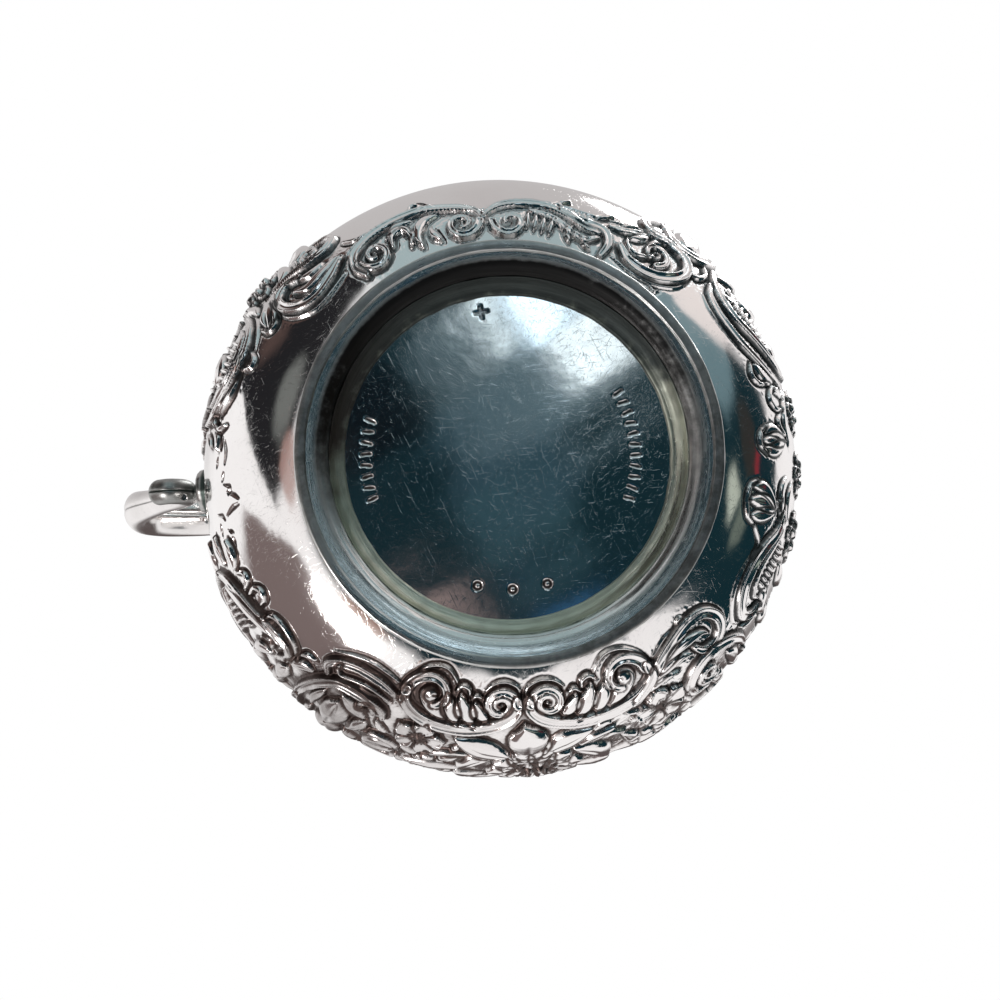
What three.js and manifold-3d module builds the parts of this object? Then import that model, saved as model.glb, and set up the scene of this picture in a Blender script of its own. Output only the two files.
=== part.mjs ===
// A silver cream jug as a three.js scene, in millimetres, with +Z up.
// The jug is spun and stamped from sheet silver and soldered together: a belly bowl on a flared foot,
// a neck drawn out into a pouring lip, an applied wire at each edge, and a hollow handle of two halves.
// The lip points along +X and the handle along -X. The origin is under the middle of the jug's
// bounding box, on the surface that the foot stands on.
import * as THREE from "three";
import { mergeVertices } from "three/addons/utils/BufferGeometryUtils.js";
import Module from "manifold-3d";

// Driving dimensions.
const FOOT_RADIUS = 29; // outer edge of the foot, where it stands
const FOOT_HEIGHT = 5.6; // table to the solder joint under the bowl
const JOINT_RADIUS = 25; // where the foot meets the bowl
const BELLY_RADIUS = 43.2; // widest part of the bowl
const BELLY_HEIGHT = 29; // height of the widest part
const SEAM_RADIUS = 34; // where the bowl ends and the neck begins
const SEAM_HEIGHT = 50;
const WAIST_RADIUS = 31.4; // pulls the neck in between seam and mouth
const MOUTH_RADIUS = 37.5;
const MOUTH_HEIGHT = 72;
const WALL = 0.9; // sheet thickness of bowl and neck
const BASE_BULGE = 0.8; // how far the bowl's underside domes down inside the foot

// Shape of the bowl and neck between those sizes, as shares of the way across or up each part.
const BOWL_FLARE = 0.62; // how far out the underside runs
const BOWL_RISE = 0.06; // while it rises only this far
const BELLY_FULLNESS = 0.48; // height at which the belly's side turns upright
const SHOULDER_FULLNESS = 0.5; // how high the belly's side stays upright
const SHOULDER_WIDTH = 0.42; // how far out the shoulder still is
const SHOULDER_DROP = 0.22; // this far below the seam
const WAIST_LOW = 0.25; // the neck's narrowest stretch, from
const WAIST_HIGH = 0.72; // to
const WAIST_FLARE = 0.3; // and how much wider it is at its upper end, in millimetres

const LIP_REACH = 11; // how far the lip stands out past the round mouth
const LIP_RISE = 3.6; // and how far it rises
const LIP_SPREAD = 0.46; // half width of the lip, in radians
const BACK_RISE = 1.8; // rise of the mouth's edge over the handle
const LIP_FLARE = 2.2; // how late, on the way up the neck, the lip turns out

const FOOT_WALL = 0.8;
const FOOT_WIRE_HEIGHT = 1.3;
const FOOT_WIRE_WIDTH = 1.5;
const RIM_WIRE_WIDTH = 2.2;
const RIM_WIRE_HEIGHT = 2;
const SEAM_WIRE_WIDTH = 1;
const SEAM_WIRE_HEIGHT = 1.9;
const SOLDER_REACH = 1.5; // of the solder fillet, across the bowl's underside
const SOLDER_DROP = 1.2; // and down the foot's inner wall

const HANDLE_REACH = 16.4; // clear of the belly, to the handle's centre line
const HANDLE_RISE = 5.2; // of the handle's crown above the mouth
const HANDLE_WIDTH = 7.2; // across, at its widest
const HANDLE_DEPTH = 5.2; // in the handle's own plane, at its widest
const HANDLE_FOOT_WIDTH = 3.8; // across the curl at its lower end
const HANDLE_FOOT_HEIGHT = 33; // height of that curl
const HANDLE_TOP_HEIGHT = 65.5; // where the handle's upper end meets the neck
const HANDLE_WALL = 0.8;
const CURL_CLEARANCE = 2.1; // lower plate to the curl's centre line
const CURL_LENGTH = 3.6; // of the curl's tip, outward
const PAD_THICKNESS = 1.6; // of the lower plate; the upper one is UPPER_PAD times as thick
const UPPER_PAD = 0.55;
const PAD_WIDTH = 6.6;
const PAD_HEIGHT = 9;
const STRUT_RADIUS = 0.9; // the narrow neck between the lower plate and the curl
const PAD_ABOVE_CURL = 2.2; // height of the plate's middle over the curl's
const VENT_RADIUS = 0.45; // lets air out of the hollow handle while it is soldered
const VENT_OFFSET = 0.95; // from the handle's seam

const SOLDER_GAP = 0.1; // left between pieces that are soldered face to face
const FITTED_GAP = 0.3; // left where a piece is cut to its neighbour's curve
const AROUND = 48; // facets round the jug

const wasm = await Module();
wasm.setup();

// A closed geometry as a solid that can be joined and cut.
function solidOf(geometry) {
  const bare = geometry.clone();
  bare.deleteAttribute("normal");
  bare.deleteAttribute("uv");
  const merged = mergeVertices(bare, 1e-4);
  return new wasm.Manifold(
    new wasm.Mesh({
      numProp: 3,
      vertProperties: new Float32Array(merged.attributes.position.array),
      triVerts: new Uint32Array(merged.index.array),
    }),
  );
}

// The way back, from a solid to a geometry.
function geometryOf(solid) {
  const mesh = solid.getMesh();
  const geometry = new THREE.BufferGeometry();
  const points = new Float32Array(mesh.numVert * 3);
  for (let i = 0; i < mesh.numVert; i++) {
    points.set(mesh.vertProperties.subarray(i * mesh.numProp, i * mesh.numProp + 3), i * 3);
  }
  geometry.setAttribute("position", new THREE.BufferAttribute(points, 3));
  geometry.setIndex(new THREE.BufferAttribute(mesh.triVerts, 1));
  geometry.computeVertexNormals();
  return geometry;
}

// Turns an outline of (radius, height) points round the jug's axis.
function turned(outline) {
  return new THREE.LatheGeometry(outline, AROUND).rotateX(Math.PI / 2);
}

const point = (radius, height) => new THREE.Vector2(radius, height);

// A run of points moved sideways by a distance, to the left of the way it runs.
function offset(run, distance) {
  return run.map((p, i) => {
    const before = run[Math.max(i - 1, 0)];
    const after = run[Math.min(i + 1, run.length - 1)];
    const along = after.clone().sub(before).normalize();
    return point(p.x - along.y * distance, p.y + along.x * distance);
  });
}

// Outer face of the bowl, from the foot joint over the belly to the seam.
const bowlLower = new THREE.CubicBezierCurve(
  point(JOINT_RADIUS, FOOT_HEIGHT),
  point(
    JOINT_RADIUS + BOWL_FLARE * (BELLY_RADIUS - JOINT_RADIUS),
    FOOT_HEIGHT + BOWL_RISE * (BELLY_HEIGHT - FOOT_HEIGHT),
  ),
  point(BELLY_RADIUS, FOOT_HEIGHT + BELLY_FULLNESS * (BELLY_HEIGHT - FOOT_HEIGHT)),
  point(BELLY_RADIUS, BELLY_HEIGHT),
);
const bowlUpper = new THREE.CubicBezierCurve(
  point(BELLY_RADIUS, BELLY_HEIGHT),
  point(BELLY_RADIUS, BELLY_HEIGHT + SHOULDER_FULLNESS * (SEAM_HEIGHT - BELLY_HEIGHT)),
  point(
    SEAM_RADIUS + SHOULDER_WIDTH * (BELLY_RADIUS - SEAM_RADIUS),
    SEAM_HEIGHT - SHOULDER_DROP * (SEAM_HEIGHT - BELLY_HEIGHT),
  ),
  point(SEAM_RADIUS, SEAM_HEIGHT),
);
const BOWL_STEPS = 6;
const bowlFace = [...bowlLower.getPoints(BOWL_STEPS), ...bowlUpper.getPoints(BOWL_STEPS).slice(1)];

// The bowl's underside, from the axis out to the joint: a shallow dome that hangs down.
const BASE_STEPS = 3;
const underside = Array.from({ length: BASE_STEPS }, (_, i) => {
  const share = i / BASE_STEPS;
  return point(JOINT_RADIUS * share, FOOT_HEIGHT - BASE_BULGE * (1 - share * share));
});

// Outer face of the neck, from the seam through the waist to the mouth.
const neckCurve = new THREE.CubicBezierCurve(
  point(SEAM_RADIUS, SEAM_HEIGHT),
  point(WAIST_RADIUS, SEAM_HEIGHT + WAIST_LOW * (MOUTH_HEIGHT - SEAM_HEIGHT)),
  point(WAIST_RADIUS + WAIST_FLARE, SEAM_HEIGHT + WAIST_HIGH * (MOUTH_HEIGHT - SEAM_HEIGHT)),
  point(MOUTH_RADIUS, MOUTH_HEIGHT),
);
const NECK_STEPS = 6;
const neckFace = neckCurve.getPoints(NECK_STEPS);

// Pulls a turned neck or rim out and up into the pouring lip, and up a little over the handle.
function drawLip(geometry) {
  const at = geometry.attributes.position;
  for (let i = 0; i < at.count; i++) {
    const radius = Math.hypot(at.getX(i), at.getY(i));
    const angle = Math.atan2(at.getY(i), at.getX(i));
    const height = at.getZ(i);
    const share = THREE.MathUtils.clamp((height - SEAM_HEIGHT) / (MOUTH_HEIGHT - SEAM_HEIGHT), 0, 1);
    const lip = radius > 1 ? Math.exp(-((angle / LIP_SPREAD) ** 2)) : 0;
    const back = radius > 1 ? Math.sin(angle / 2) ** 4 : 0;
    const out = radius + LIP_REACH * lip * share ** LIP_FLARE;
    at.setXYZ(
      i,
      out * Math.cos(angle),
      out * Math.sin(angle),
      height + (LIP_RISE * lip + BACK_RISE * back) * share ** 2,
    );
  }
  return geometry;
}

// Sheet-metal bodies of revolution.
function bowlGeometry() {
  const outside = [...underside, ...bowlFace];
  const inside = offset(outside, WALL).reverse();
  inside[inside.length - 1].x = 0;
  return turned([...outside, ...inside]);
}

function neckGeometry() {
  const outside = neckFace.map((p, i) => (i === 0 ? point(p.x, p.y + SOLDER_GAP) : p));
  const inside = offset(outside, WALL).reverse();
  inside[0].y = MOUTH_HEIGHT;
  inside[inside.length - 1].y = outside[0].y;
  return drawLip(turned([...outside, ...inside, outside[0].clone()]));
}

// The foot flares out from the joint to the wire that it stands on.
function footGeometry() {
  const top = FOOT_HEIGHT - SOLDER_GAP;
  const bottom = FOOT_WIRE_HEIGHT + SOLDER_GAP;
  const edge = FOOT_RADIUS - FOOT_WIRE_WIDTH / 2 + FOOT_WALL / 2;
  const flare = new THREE.QuadraticBezierCurve(
    point(edge, bottom),
    point(JOINT_RADIUS + FOOT_WALL * 0.3, bottom + 0.25 * (top - bottom)),
    point(JOINT_RADIUS, top),
  );
  const outside = flare.getPoints(4);
  const inside = outside.map((p) => point(p.x - FOOT_WALL, p.y)).reverse();
  return turned([...outside, ...inside, outside[0].clone()]);
}

function footWireGeometry() {
  const inner = FOOT_RADIUS - FOOT_WIRE_WIDTH;
  const chamfer = FOOT_WIRE_HEIGHT / 4;
  return turned([
    point(inner, 0),
    point(FOOT_RADIUS - chamfer, 0),
    point(FOOT_RADIUS, chamfer),
    point(FOOT_RADIUS, FOOT_WIRE_HEIGHT - chamfer),
    point(FOOT_RADIUS - chamfer, FOOT_WIRE_HEIGHT),
    point(inner, FOOT_WIRE_HEIGHT),
    point(inner, 0),
  ]);
}

// The fillet of solder in the corner between the foot's inner wall and the bowl's underside.
function solderGeometry() {
  const wall = JOINT_RADIUS - FOOT_WALL - SOLDER_GAP;
  const under = (radius) => FOOT_HEIGHT - BASE_BULGE * (1 - (radius / JOINT_RADIUS) ** 2) - FITTED_GAP;
  return turned([
    point(wall - SOLDER_REACH, under(wall - SOLDER_REACH)),
    point(wall - SOLDER_REACH * 0.35, under(wall) - SOLDER_DROP * 0.45),
    point(wall, under(wall) - SOLDER_DROP),
    point(wall, under(wall)),
    point(wall - SOLDER_REACH, under(wall - SOLDER_REACH)),
  ]);
}

// A wire with a half-round outer face, round the seam between bowl and neck.
function seamWireGeometry() {
  const inner = SEAM_RADIUS + FITTED_GAP;
  const half = SEAM_WIRE_HEIGHT / 2;
  // The wire leans in with the shoulder, so its lower inner corner clears the bowl.
  const lean = (BELLY_RADIUS - SEAM_RADIUS) * 0.09;
  return turned([
    point(inner + lean, SEAM_HEIGHT - half),
    point(inner + lean + SEAM_WIRE_WIDTH * 0.7, SEAM_HEIGHT - half * 0.6),
    point(inner + SEAM_WIRE_WIDTH, SEAM_HEIGHT + half * 0.1),
    point(inner + SEAM_WIRE_WIDTH * 0.6, SEAM_HEIGHT + half * 0.8),
    point(inner, SEAM_HEIGHT + half),
    point(inner + lean, SEAM_HEIGHT - half),
  ]);
}

// The applied wire on the mouth's edge. It is drawn out with the neck, so it follows the lip.
function rimWireGeometry() {
  const middle = MOUTH_RADIUS - WALL / 2;
  const base = MOUTH_HEIGHT + 3 * SOLDER_GAP;
  const half = RIM_WIRE_WIDTH / 2;
  return drawLip(
    turned([
      point(middle - half * 0.8, base),
      point(middle + half * 0.8, base),
      point(middle + half, base + RIM_WIRE_HEIGHT * 0.4),
      point(middle + half * 0.5, base + RIM_WIRE_HEIGHT * 0.9),
      point(middle - half * 0.3, base + RIM_WIRE_HEIGHT),
      point(middle - half, base + RIM_WIRE_HEIGHT * 0.5),
      point(middle - half * 0.8, base),
    ]),
  );
}

// The radius of a run of profile points at a height.
function radiusAt(run, height) {
  for (let i = 1; i < run.length; i++) {
    const low = run[i - 1];
    const high = run[i];
    if (height <= high.y) {
      return THREE.MathUtils.lerp(low.x, high.x, (height - low.y) / (high.y - low.y));
    }
  }
  return run[run.length - 1].x;
}

// Where the handle meets the bowl and the neck, as distances from the axis.
const bowlAtHandle = radiusAt(bowlFace, HANDLE_FOOT_HEIGHT);
const neckAtHandle = radiusAt(neckFace, HANDLE_TOP_HEIGHT);

// The handle's centre line, in the plane of the lip, from the neck over the crown and down the back
// to a small curl that turns away from the bowl.
const outermost = -(BELLY_RADIUS + HANDLE_REACH - HANDLE_DEPTH / 2);
const crown = MOUTH_HEIGHT + HANDLE_RISE;
const curlStart = -(bowlAtHandle + PAD_THICKNESS + CURL_CLEARANCE);
const curlEnd = curlStart - CURL_LENGTH;
const curlDepth = HANDLE_FOOT_WIDTH * 0.9;
const handleLine = new THREE.CatmullRomCurve3(
  [
    [-(neckAtHandle - 2), HANDLE_TOP_HEIGHT - 1.6],
    [-(neckAtHandle + 5.6), HANDLE_TOP_HEIGHT + 6],
    [THREE.MathUtils.lerp(-neckAtHandle, outermost, 0.58), crown - HANDLE_DEPTH / 2],
    [outermost + 1.4, THREE.MathUtils.lerp(HANDLE_FOOT_HEIGHT, crown, 0.8)],
    [outermost + 0.9, THREE.MathUtils.lerp(HANDLE_FOOT_HEIGHT, crown, 0.58)],
    [THREE.MathUtils.lerp(outermost, curlStart, 0.55), THREE.MathUtils.lerp(HANDLE_FOOT_HEIGHT, crown, 0.33)],
    [curlStart - 0.2, HANDLE_FOOT_HEIGHT + 5.4],
    [curlStart - 0.3, HANDLE_FOOT_HEIGHT + 1.6],
    [curlStart - 2.2, HANDLE_FOOT_HEIGHT],
    [curlEnd, HANDLE_FOOT_HEIGHT + 0.9],
  ].map(([x, z]) => new THREE.Vector3(x, 0, z)),
);

// Half width and half depth of the handle at a share of its length.
function handleSection(share) {
  const swell = Math.sin(Math.PI * THREE.MathUtils.clamp(share * 1.12, 0, 1)) ** 0.8;
  const thin = THREE.MathUtils.smoothstep(share, 0.35, 0.82);
  const width = THREE.MathUtils.lerp(HANDLE_WIDTH * (0.72 + 0.28 * swell), HANDLE_FOOT_WIDTH, thin);
  const depth = THREE.MathUtils.lerp(HANDLE_DEPTH * (0.75 + 0.25 * swell), curlDepth, thin);
  return [width / 2, depth / 2];
}

// A closed tube along part of the handle's centre line, shrunk by an inset: a cylinder bent to the line.
function handleTube(from, to, inset, steps, around) {
  const tube = new THREE.CylinderGeometry(1, 1, 1, around, steps);
  const at = tube.attributes.position;
  for (let i = 0; i < at.count; i++) {
    const share = THREE.MathUtils.lerp(from, to, at.getY(i) + 0.5);
    const along = handleLine.getTangentAt(share);
    const outward = new THREE.Vector3(-along.z, 0, along.x);
    const [width, depth] = handleSection(share).map((half) => half - inset);
    const p = handleLine.getPointAt(share).addScaledVector(outward, depth * at.getX(i));
    at.setXYZ(i, p.x, width * at.getZ(i), p.z);
  }
  return tube;
}

// Everything inside the bowl's and neck's outer faces, grown by a gap, to cut fitted pieces with.
function jugCore(gap) {
  const inBowl = offset(bowlFace, -gap);
  const inNeck = offset(neckFace, -gap);
  const top = point(0, MOUTH_HEIGHT + gap);
  const outline = [point(0, FOOT_HEIGHT), ...inBowl, ...inNeck.slice(1), top];
  return solidOf(drawLip(turned(outline)));
}

// One half of the hollow handle: the tube less its hollow, cut down the middle and fitted to the neck's pad.
function handleShells() {
  const STEPS = 26;
  const knob = new THREE.SphereGeometry(1, 14, 8);
  knob.scale(curlDepth / 2, HANDLE_FOOT_WIDTH / 2, curlDepth / 2);
  const end = handleLine.getPointAt(1);
  knob.translate(end.x, 0, end.z);
  const outer = solidOf(handleTube(0, 1, 0, STEPS, 14)).add(solidOf(knob));
  const hollow = solidOf(handleTube(0.05, 0.93, HANDLE_WALL, STEPS - 6, 10));
  const curl = handleLine.getPointAt(0.93);
  const vent = new THREE.CylinderGeometry(VENT_RADIUS, VENT_RADIUS, 4, 12);
  vent.rotateX(Math.PI / 2).translate(curl.x, VENT_OFFSET, curl.z - curlDepth / 2);
  const tube = outer.subtract(hollow).subtract(jugCore(2 * FITTED_GAP + PAD_THICKNESS * UPPER_PAD));
  const reach = 200;
  return [-1, 1].map((side) => {
    const half = new THREE.BoxGeometry(reach, reach, reach);
    half.translate(0, side * (reach / 2 + SOLDER_GAP / 2), MOUTH_HEIGHT / 2);
    const shell = tube.intersect(solidOf(half));
    return geometryOf(side > 0 ? shell.subtract(solidOf(vent)) : shell);
  });
}

// An oval plate that lies on the jug under one end of the handle.
function padBlank(radius, height, width, tall) {
  const plate = new THREE.CylinderGeometry(1, 1, 3 * PAD_THICKNESS, 20);
  plate.scale(width / 2, 1, tall / 2);
  plate.rotateZ(Math.PI / 2);
  plate.translate(-radius, 0, height);
  return solidOf(plate);
}

// The plate and strut that carry the curl at the handle's lower end.
function lowerPadGeometry() {
  const middle = HANDLE_FOOT_HEIGHT + PAD_ABOVE_CURL;
  const strut = new THREE.CylinderGeometry(STRUT_RADIUS, STRUT_RADIUS * 2, 7, 14);
  strut.rotateZ(Math.PI / 2);
  strut.translate(-(bowlAtHandle + 1.5), 0, middle);
  const plate = padBlank(bowlAtHandle, middle, PAD_WIDTH, PAD_HEIGHT);
  const within = jugCore(FITTED_GAP + PAD_THICKNESS);
  const grown = solidOf(handleTube(0, 1, -FITTED_GAP, 30, 14));
  const pad = plate.intersect(within).add(solidOf(strut));
  return geometryOf(pad.subtract(jugCore(FITTED_GAP)).subtract(grown));
}

// The plate under the handle's upper end, on the neck.
function upperPadGeometry() {
  const plate = padBlank(neckAtHandle, HANDLE_TOP_HEIGHT, HANDLE_WIDTH * 1.05, HANDLE_DEPTH * 1.5);
  const within = jugCore(FITTED_GAP + PAD_THICKNESS * UPPER_PAD);
  return geometryOf(plate.intersect(within).subtract(jugCore(FITTED_GAP)));
}

// Finishes: polished silver outside, hand-worn silver on the handle and foot, and dull solder.
const polished = { color: 0xe8e6e2, metalness: 1, roughness: 0.14 };
const worn = { color: 0xdedcd6, metalness: 1, roughness: 0.22 };
const dull = { color: 0x9c9c80, metalness: 1, roughness: 0.42 };

const jug = new THREE.Group();

function add(name, geometry, finish) {
  const mesh = new THREE.Mesh(geometry, new THREE.MeshStandardMaterial(finish));
  mesh.name = name;
  jug.add(mesh);
}

const [rightShell, leftShell] = handleShells();
add("body_bowl", bowlGeometry(), polished);
add("neck_and_lip", neckGeometry(), polished);
add("rim_wire", rimWireGeometry(), polished);
add("shoulder_wire", seamWireGeometry(), polished);
add("foot_ring", footGeometry(), worn);
add("foot_wire", footWireGeometry(), worn);
add("foot_solder_ring", solderGeometry(), dull);
add("handle_shell_right", rightShell, worn);
add("handle_shell_left", leftShell, worn);
add("handle_upper_pad", upperPadGeometry(), worn);
add("handle_lower_pad", lowerPadGeometry(), worn);

// Puts the origin under the middle of the bounding box.
const box = new THREE.Box3().setFromObject(jug);
jug.position.x = -(box.min.x + box.max.x) / 2;

const model = new THREE.Group();
model.add(jug);

export default model;
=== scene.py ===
import math

import bmesh
import bpy
import numpy as np
from mathutils import Matrix, Vector


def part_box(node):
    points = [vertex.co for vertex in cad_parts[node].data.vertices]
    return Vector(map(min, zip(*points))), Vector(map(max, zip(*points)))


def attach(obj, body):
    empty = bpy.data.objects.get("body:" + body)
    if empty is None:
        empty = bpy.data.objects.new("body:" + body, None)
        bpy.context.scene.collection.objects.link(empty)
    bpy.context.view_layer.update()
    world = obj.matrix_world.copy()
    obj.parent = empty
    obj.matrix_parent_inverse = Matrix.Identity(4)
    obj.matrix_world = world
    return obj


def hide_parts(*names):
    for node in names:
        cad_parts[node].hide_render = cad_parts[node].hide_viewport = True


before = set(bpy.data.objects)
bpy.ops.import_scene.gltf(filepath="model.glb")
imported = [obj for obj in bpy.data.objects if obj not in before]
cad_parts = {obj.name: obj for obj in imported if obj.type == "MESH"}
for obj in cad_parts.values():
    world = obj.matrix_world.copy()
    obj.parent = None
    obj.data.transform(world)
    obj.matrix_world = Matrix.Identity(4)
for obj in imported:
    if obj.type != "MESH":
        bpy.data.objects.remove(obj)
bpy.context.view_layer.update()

MM = 0.001


def middle_x(node):
    low_corner, high_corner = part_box(node)
    return (low_corner[0] + high_corner[0]) / 2


AXIS_X = middle_x("foot_wire")  # the jug's axis, in metres

# ---------------------------------------------------------------- the jug's own dimensions, as in the CAD
FOOT_RADIUS, FOOT_HEIGHT, JOINT_RADIUS = 29, 5.6, 25
BELLY_RADIUS, BELLY_HEIGHT = 43.2, 29
SEAM_RADIUS, SEAM_HEIGHT = 34, 50
WAIST_RADIUS, MOUTH_RADIUS, MOUTH_HEIGHT = 31.4, 37.5, 72
WALL, BASE_BULGE = 0.9, 0.8
BOWL_FLARE, BOWL_RISE, BELLY_FULLNESS = 0.62, 0.06, 0.48  # shares that bend the bowl below its widest line
SHOULDER_FULLNESS, SHOULDER_WIDTH, SHOULDER_DROP = 0.5, 0.42, 0.22  # and above it
WAIST_LOW, WAIST_HIGH, WAIST_FLARE = 0.25, 0.72, 0.3  # and the neck's waist
LIP_REACH, LIP_RISE, LIP_SPREAD, BACK_RISE = 11, 3.6, 0.46, 1.8


def bezier(points, count):
    """A Bezier curve of any degree through its control points, as count + 1 samples."""
    t = np.linspace(0, 1, count + 1)[:, None]
    points = np.array(points, float)
    degree = len(points) - 1
    return sum(math.comb(degree, i) * (1 - t) ** (degree - i) * t**i * p for i, p in enumerate(points))


def lengths(profile):
    """Distance along a profile from its first point to each point."""
    return np.concatenate([[0], np.cumsum(np.hypot(*np.diff(profile, axis=0).T))])


BELLY_OUT, BELLY_UP = BELLY_RADIUS - JOINT_RADIUS, BELLY_HEIGHT - FOOT_HEIGHT
SHOULDER_IN, SHOULDER_UP = BELLY_RADIUS - SEAM_RADIUS, SEAM_HEIGHT - BELLY_HEIGHT
bowl_profile = np.vstack([
    bezier([
        (JOINT_RADIUS, FOOT_HEIGHT),
        (JOINT_RADIUS + BOWL_FLARE * BELLY_OUT, FOOT_HEIGHT + BOWL_RISE * BELLY_UP),
        (BELLY_RADIUS, FOOT_HEIGHT + BELLY_FULLNESS * BELLY_UP),
        (BELLY_RADIUS, BELLY_HEIGHT),
    ], 200),
    bezier([
        (BELLY_RADIUS, BELLY_HEIGHT),
        (BELLY_RADIUS, BELLY_HEIGHT + SHOULDER_FULLNESS * SHOULDER_UP),
        (SEAM_RADIUS + SHOULDER_WIDTH * SHOULDER_IN, SEAM_HEIGHT - SHOULDER_DROP * SHOULDER_UP),
        (SEAM_RADIUS, SEAM_HEIGHT),
    ], 200)[1:],
])
BOWL_RUN = lengths(bowl_profile)
BOWL_R, BOWL_Z = bowl_profile.T
BOWL_END = BOWL_RUN[-1]


def bowl_point(run):
    """Radius, height and outward normal of the bowl's plain outer face, at a run from the foot joint."""
    run = np.asarray(run, float)
    eps = 0.2
    lo, hi = np.clip(run - eps, 0, BOWL_END), np.clip(run + eps, 0, BOWL_END)
    dr = np.interp(hi, BOWL_RUN, BOWL_R) - np.interp(lo, BOWL_RUN, BOWL_R)
    dz = np.interp(hi, BOWL_RUN, BOWL_Z) - np.interp(lo, BOWL_RUN, BOWL_Z)
    size = np.hypot(dr, dz)
    return np.interp(run, BOWL_RUN, BOWL_R), np.interp(run, BOWL_RUN, BOWL_Z), dz / size, -dr / size


# ---------------------------------------------------------------- raised decoration
# The relief is drawn on a flat sheet that wraps round the bowl: angle in degrees round the jug's axis from
# +X towards +Y, and run in millimetres up the bowl's outer face from the foot joint.
COLUMNS = 1440  # of the sheet, round the jug
SHEET_FROM, SHEET_TO, SHEET_STEP = 3.6, 51.2, 0.15
SHEET_RUNS = np.arange(SHEET_FROM, SHEET_TO, SHEET_STEP)
MIDDLE_RUN = 27.0  # the upper tier mirrors the lower one about this run
GROOVE_WIDTH = 0.26  # of the chased line round each raised shape
SWELL_SIZE = 1.3  # how far the sheet swells behind and beside the raised shapes
TYPICAL_RUN, BLUR_MARGIN = 14.0, 40  # where a blur's width round the jug is exact, and its rows of margin
ANGLES = np.arange(COLUMNS) * 360.0 / COLUMNS
high = np.zeros((len(SHEET_RUNS), COLUMNS))  # what is raised, in millimetres
low = np.zeros_like(high)  # what is cut in
dark = np.zeros_like(high)  # what is tarnished beyond its depth, from 0 to 1


def mm_per_degree(run):
    """Length of a degree round the bowl, at a run."""
    return np.interp(run, BOWL_RUN, BOWL_R) * math.pi / 180


def catmull_rom(a, b, c, d, t):
    """Points of the smooth curve from b to c at shares t of the way, where a and d are its neighbours."""
    return 0.5 * (2 * b + (c - a) * t + (2 * a - 5 * b + 4 * c - d) * t**2 + (3 * b - a - 3 * c + d) * t**3)


def spline(points, step=0.11):
    """A smooth line through (angle, run) points, as evenly spaced samples."""
    p = np.array(points, float)
    p = np.vstack([2 * p[0] - p[1], p, 2 * p[-1] - p[-2]])
    t = np.linspace(0, 1, 24, endpoint=False)[:, None]
    runs = [catmull_rom(a, b, c, d, t) for a, b, c, d in zip(p, p[1:], p[2:], p[3:])]
    line = np.vstack(runs + [p[-2:-1]])
    mm = mm_per_degree(line[:, 1])
    length = np.concatenate([[0], np.cumsum(np.hypot(np.diff(line[:, 0]) * mm[1:], np.diff(line[:, 1])))])
    at = np.linspace(0, length[-1], max(4, int(length[-1] / step)))
    return np.stack([np.interp(at, length, line[:, 0]), np.interp(at, length, line[:, 1])], 1)


def sweep(line, half, shape, height, groove):
    """Sweeps a cross-section along a line. half holds half widths, shape(across, share) gives the height."""
    share = np.linspace(0, 1, len(line))
    wide = np.interp(share, np.linspace(0, 1, len(half)), half)
    mm = mm_per_degree(line[:, 1])
    reach = wide.max() + 2.5 * GROOVE_WIDTH
    first = int(((line[:, 0] - reach / mm).min()) * COLUMNS / 360)
    last = int(((line[:, 0] + reach / mm).max()) * COLUMNS / 360) + 1
    lo, hi = np.searchsorted(SHEET_RUNS, [line[:, 1].min() - reach, line[:, 1].max() + reach])
    if hi <= lo:
        return
    columns = np.arange(first, last + 1)
    angle = (columns * 360.0 / COLUMNS)[None, :]
    run = SHEET_RUNS[lo:hi][:, None]
    best = np.full((hi - lo, len(columns)), 1e9)
    index = np.zeros(best.shape, int)
    for i, (a, s) in enumerate(line):
        d = ((angle - a) * mm[i]) ** 2 + (run - s) ** 2
        nearer = d < best
        best = np.where(nearer, d, best)
        index = np.where(nearer, i, index)
    distance = np.sqrt(best)
    along = np.gradient(line, axis=0) * np.stack([mm, np.ones_like(mm)], 1)
    from_a, from_s = (angle - line[index, 0]) * mm[index], run - line[index, 1]
    side = np.sign(along[index, 0] * from_s - along[index, 1] * from_a)
    width = wide[index]
    across = distance / np.maximum(width, 1e-3)
    bump = np.where(across < 1, height * shape(side * np.minimum(across, 1), share[index]), 0)
    where = np.ix_(np.arange(lo, hi), columns % COLUMNS)
    if height > 0:
        high[where] = np.maximum(high[where], bump)
        edge = ((distance - width - 0.3 * GROOVE_WIDTH) / GROOVE_WIDTH) ** 2
        low[where] = np.minimum(low[where], -groove * np.exp(-edge) * (across > 0.8))
    else:
        low[where] = np.minimum(low[where], bump)


def draw(points, half, shape, height=1.0, groove=0.2, both=True):
    """One stroke in the lower tier and, unless told otherwise, its mirror image in the upper tier."""
    line = spline(points)
    half = np.atleast_1d(half)
    sweep(line, half, shape, height, groove)
    if both:
        sweep(line * [1, -1] + [0, 2 * MIDDLE_RUN], half, lambda x, t: shape(-x, t), height, groove)


# Cross-sections. x runs from -1 to 1 across the stroke, t from 0 to 1 along it.
def rolled(x, t):
    """A scroll's band: a rolled rim on each edge and a dished middle."""
    return np.interp(np.abs(x), [0, 0.3, 0.55, 0.78, 0.93, 1], [0.52, 0.58, 0.85, 1, 0.6, 0])


def rounded(x, t):
    """A rib or bead: a plain half-round."""
    return np.sqrt(np.clip(1 - x * x, 0, 1))


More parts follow.
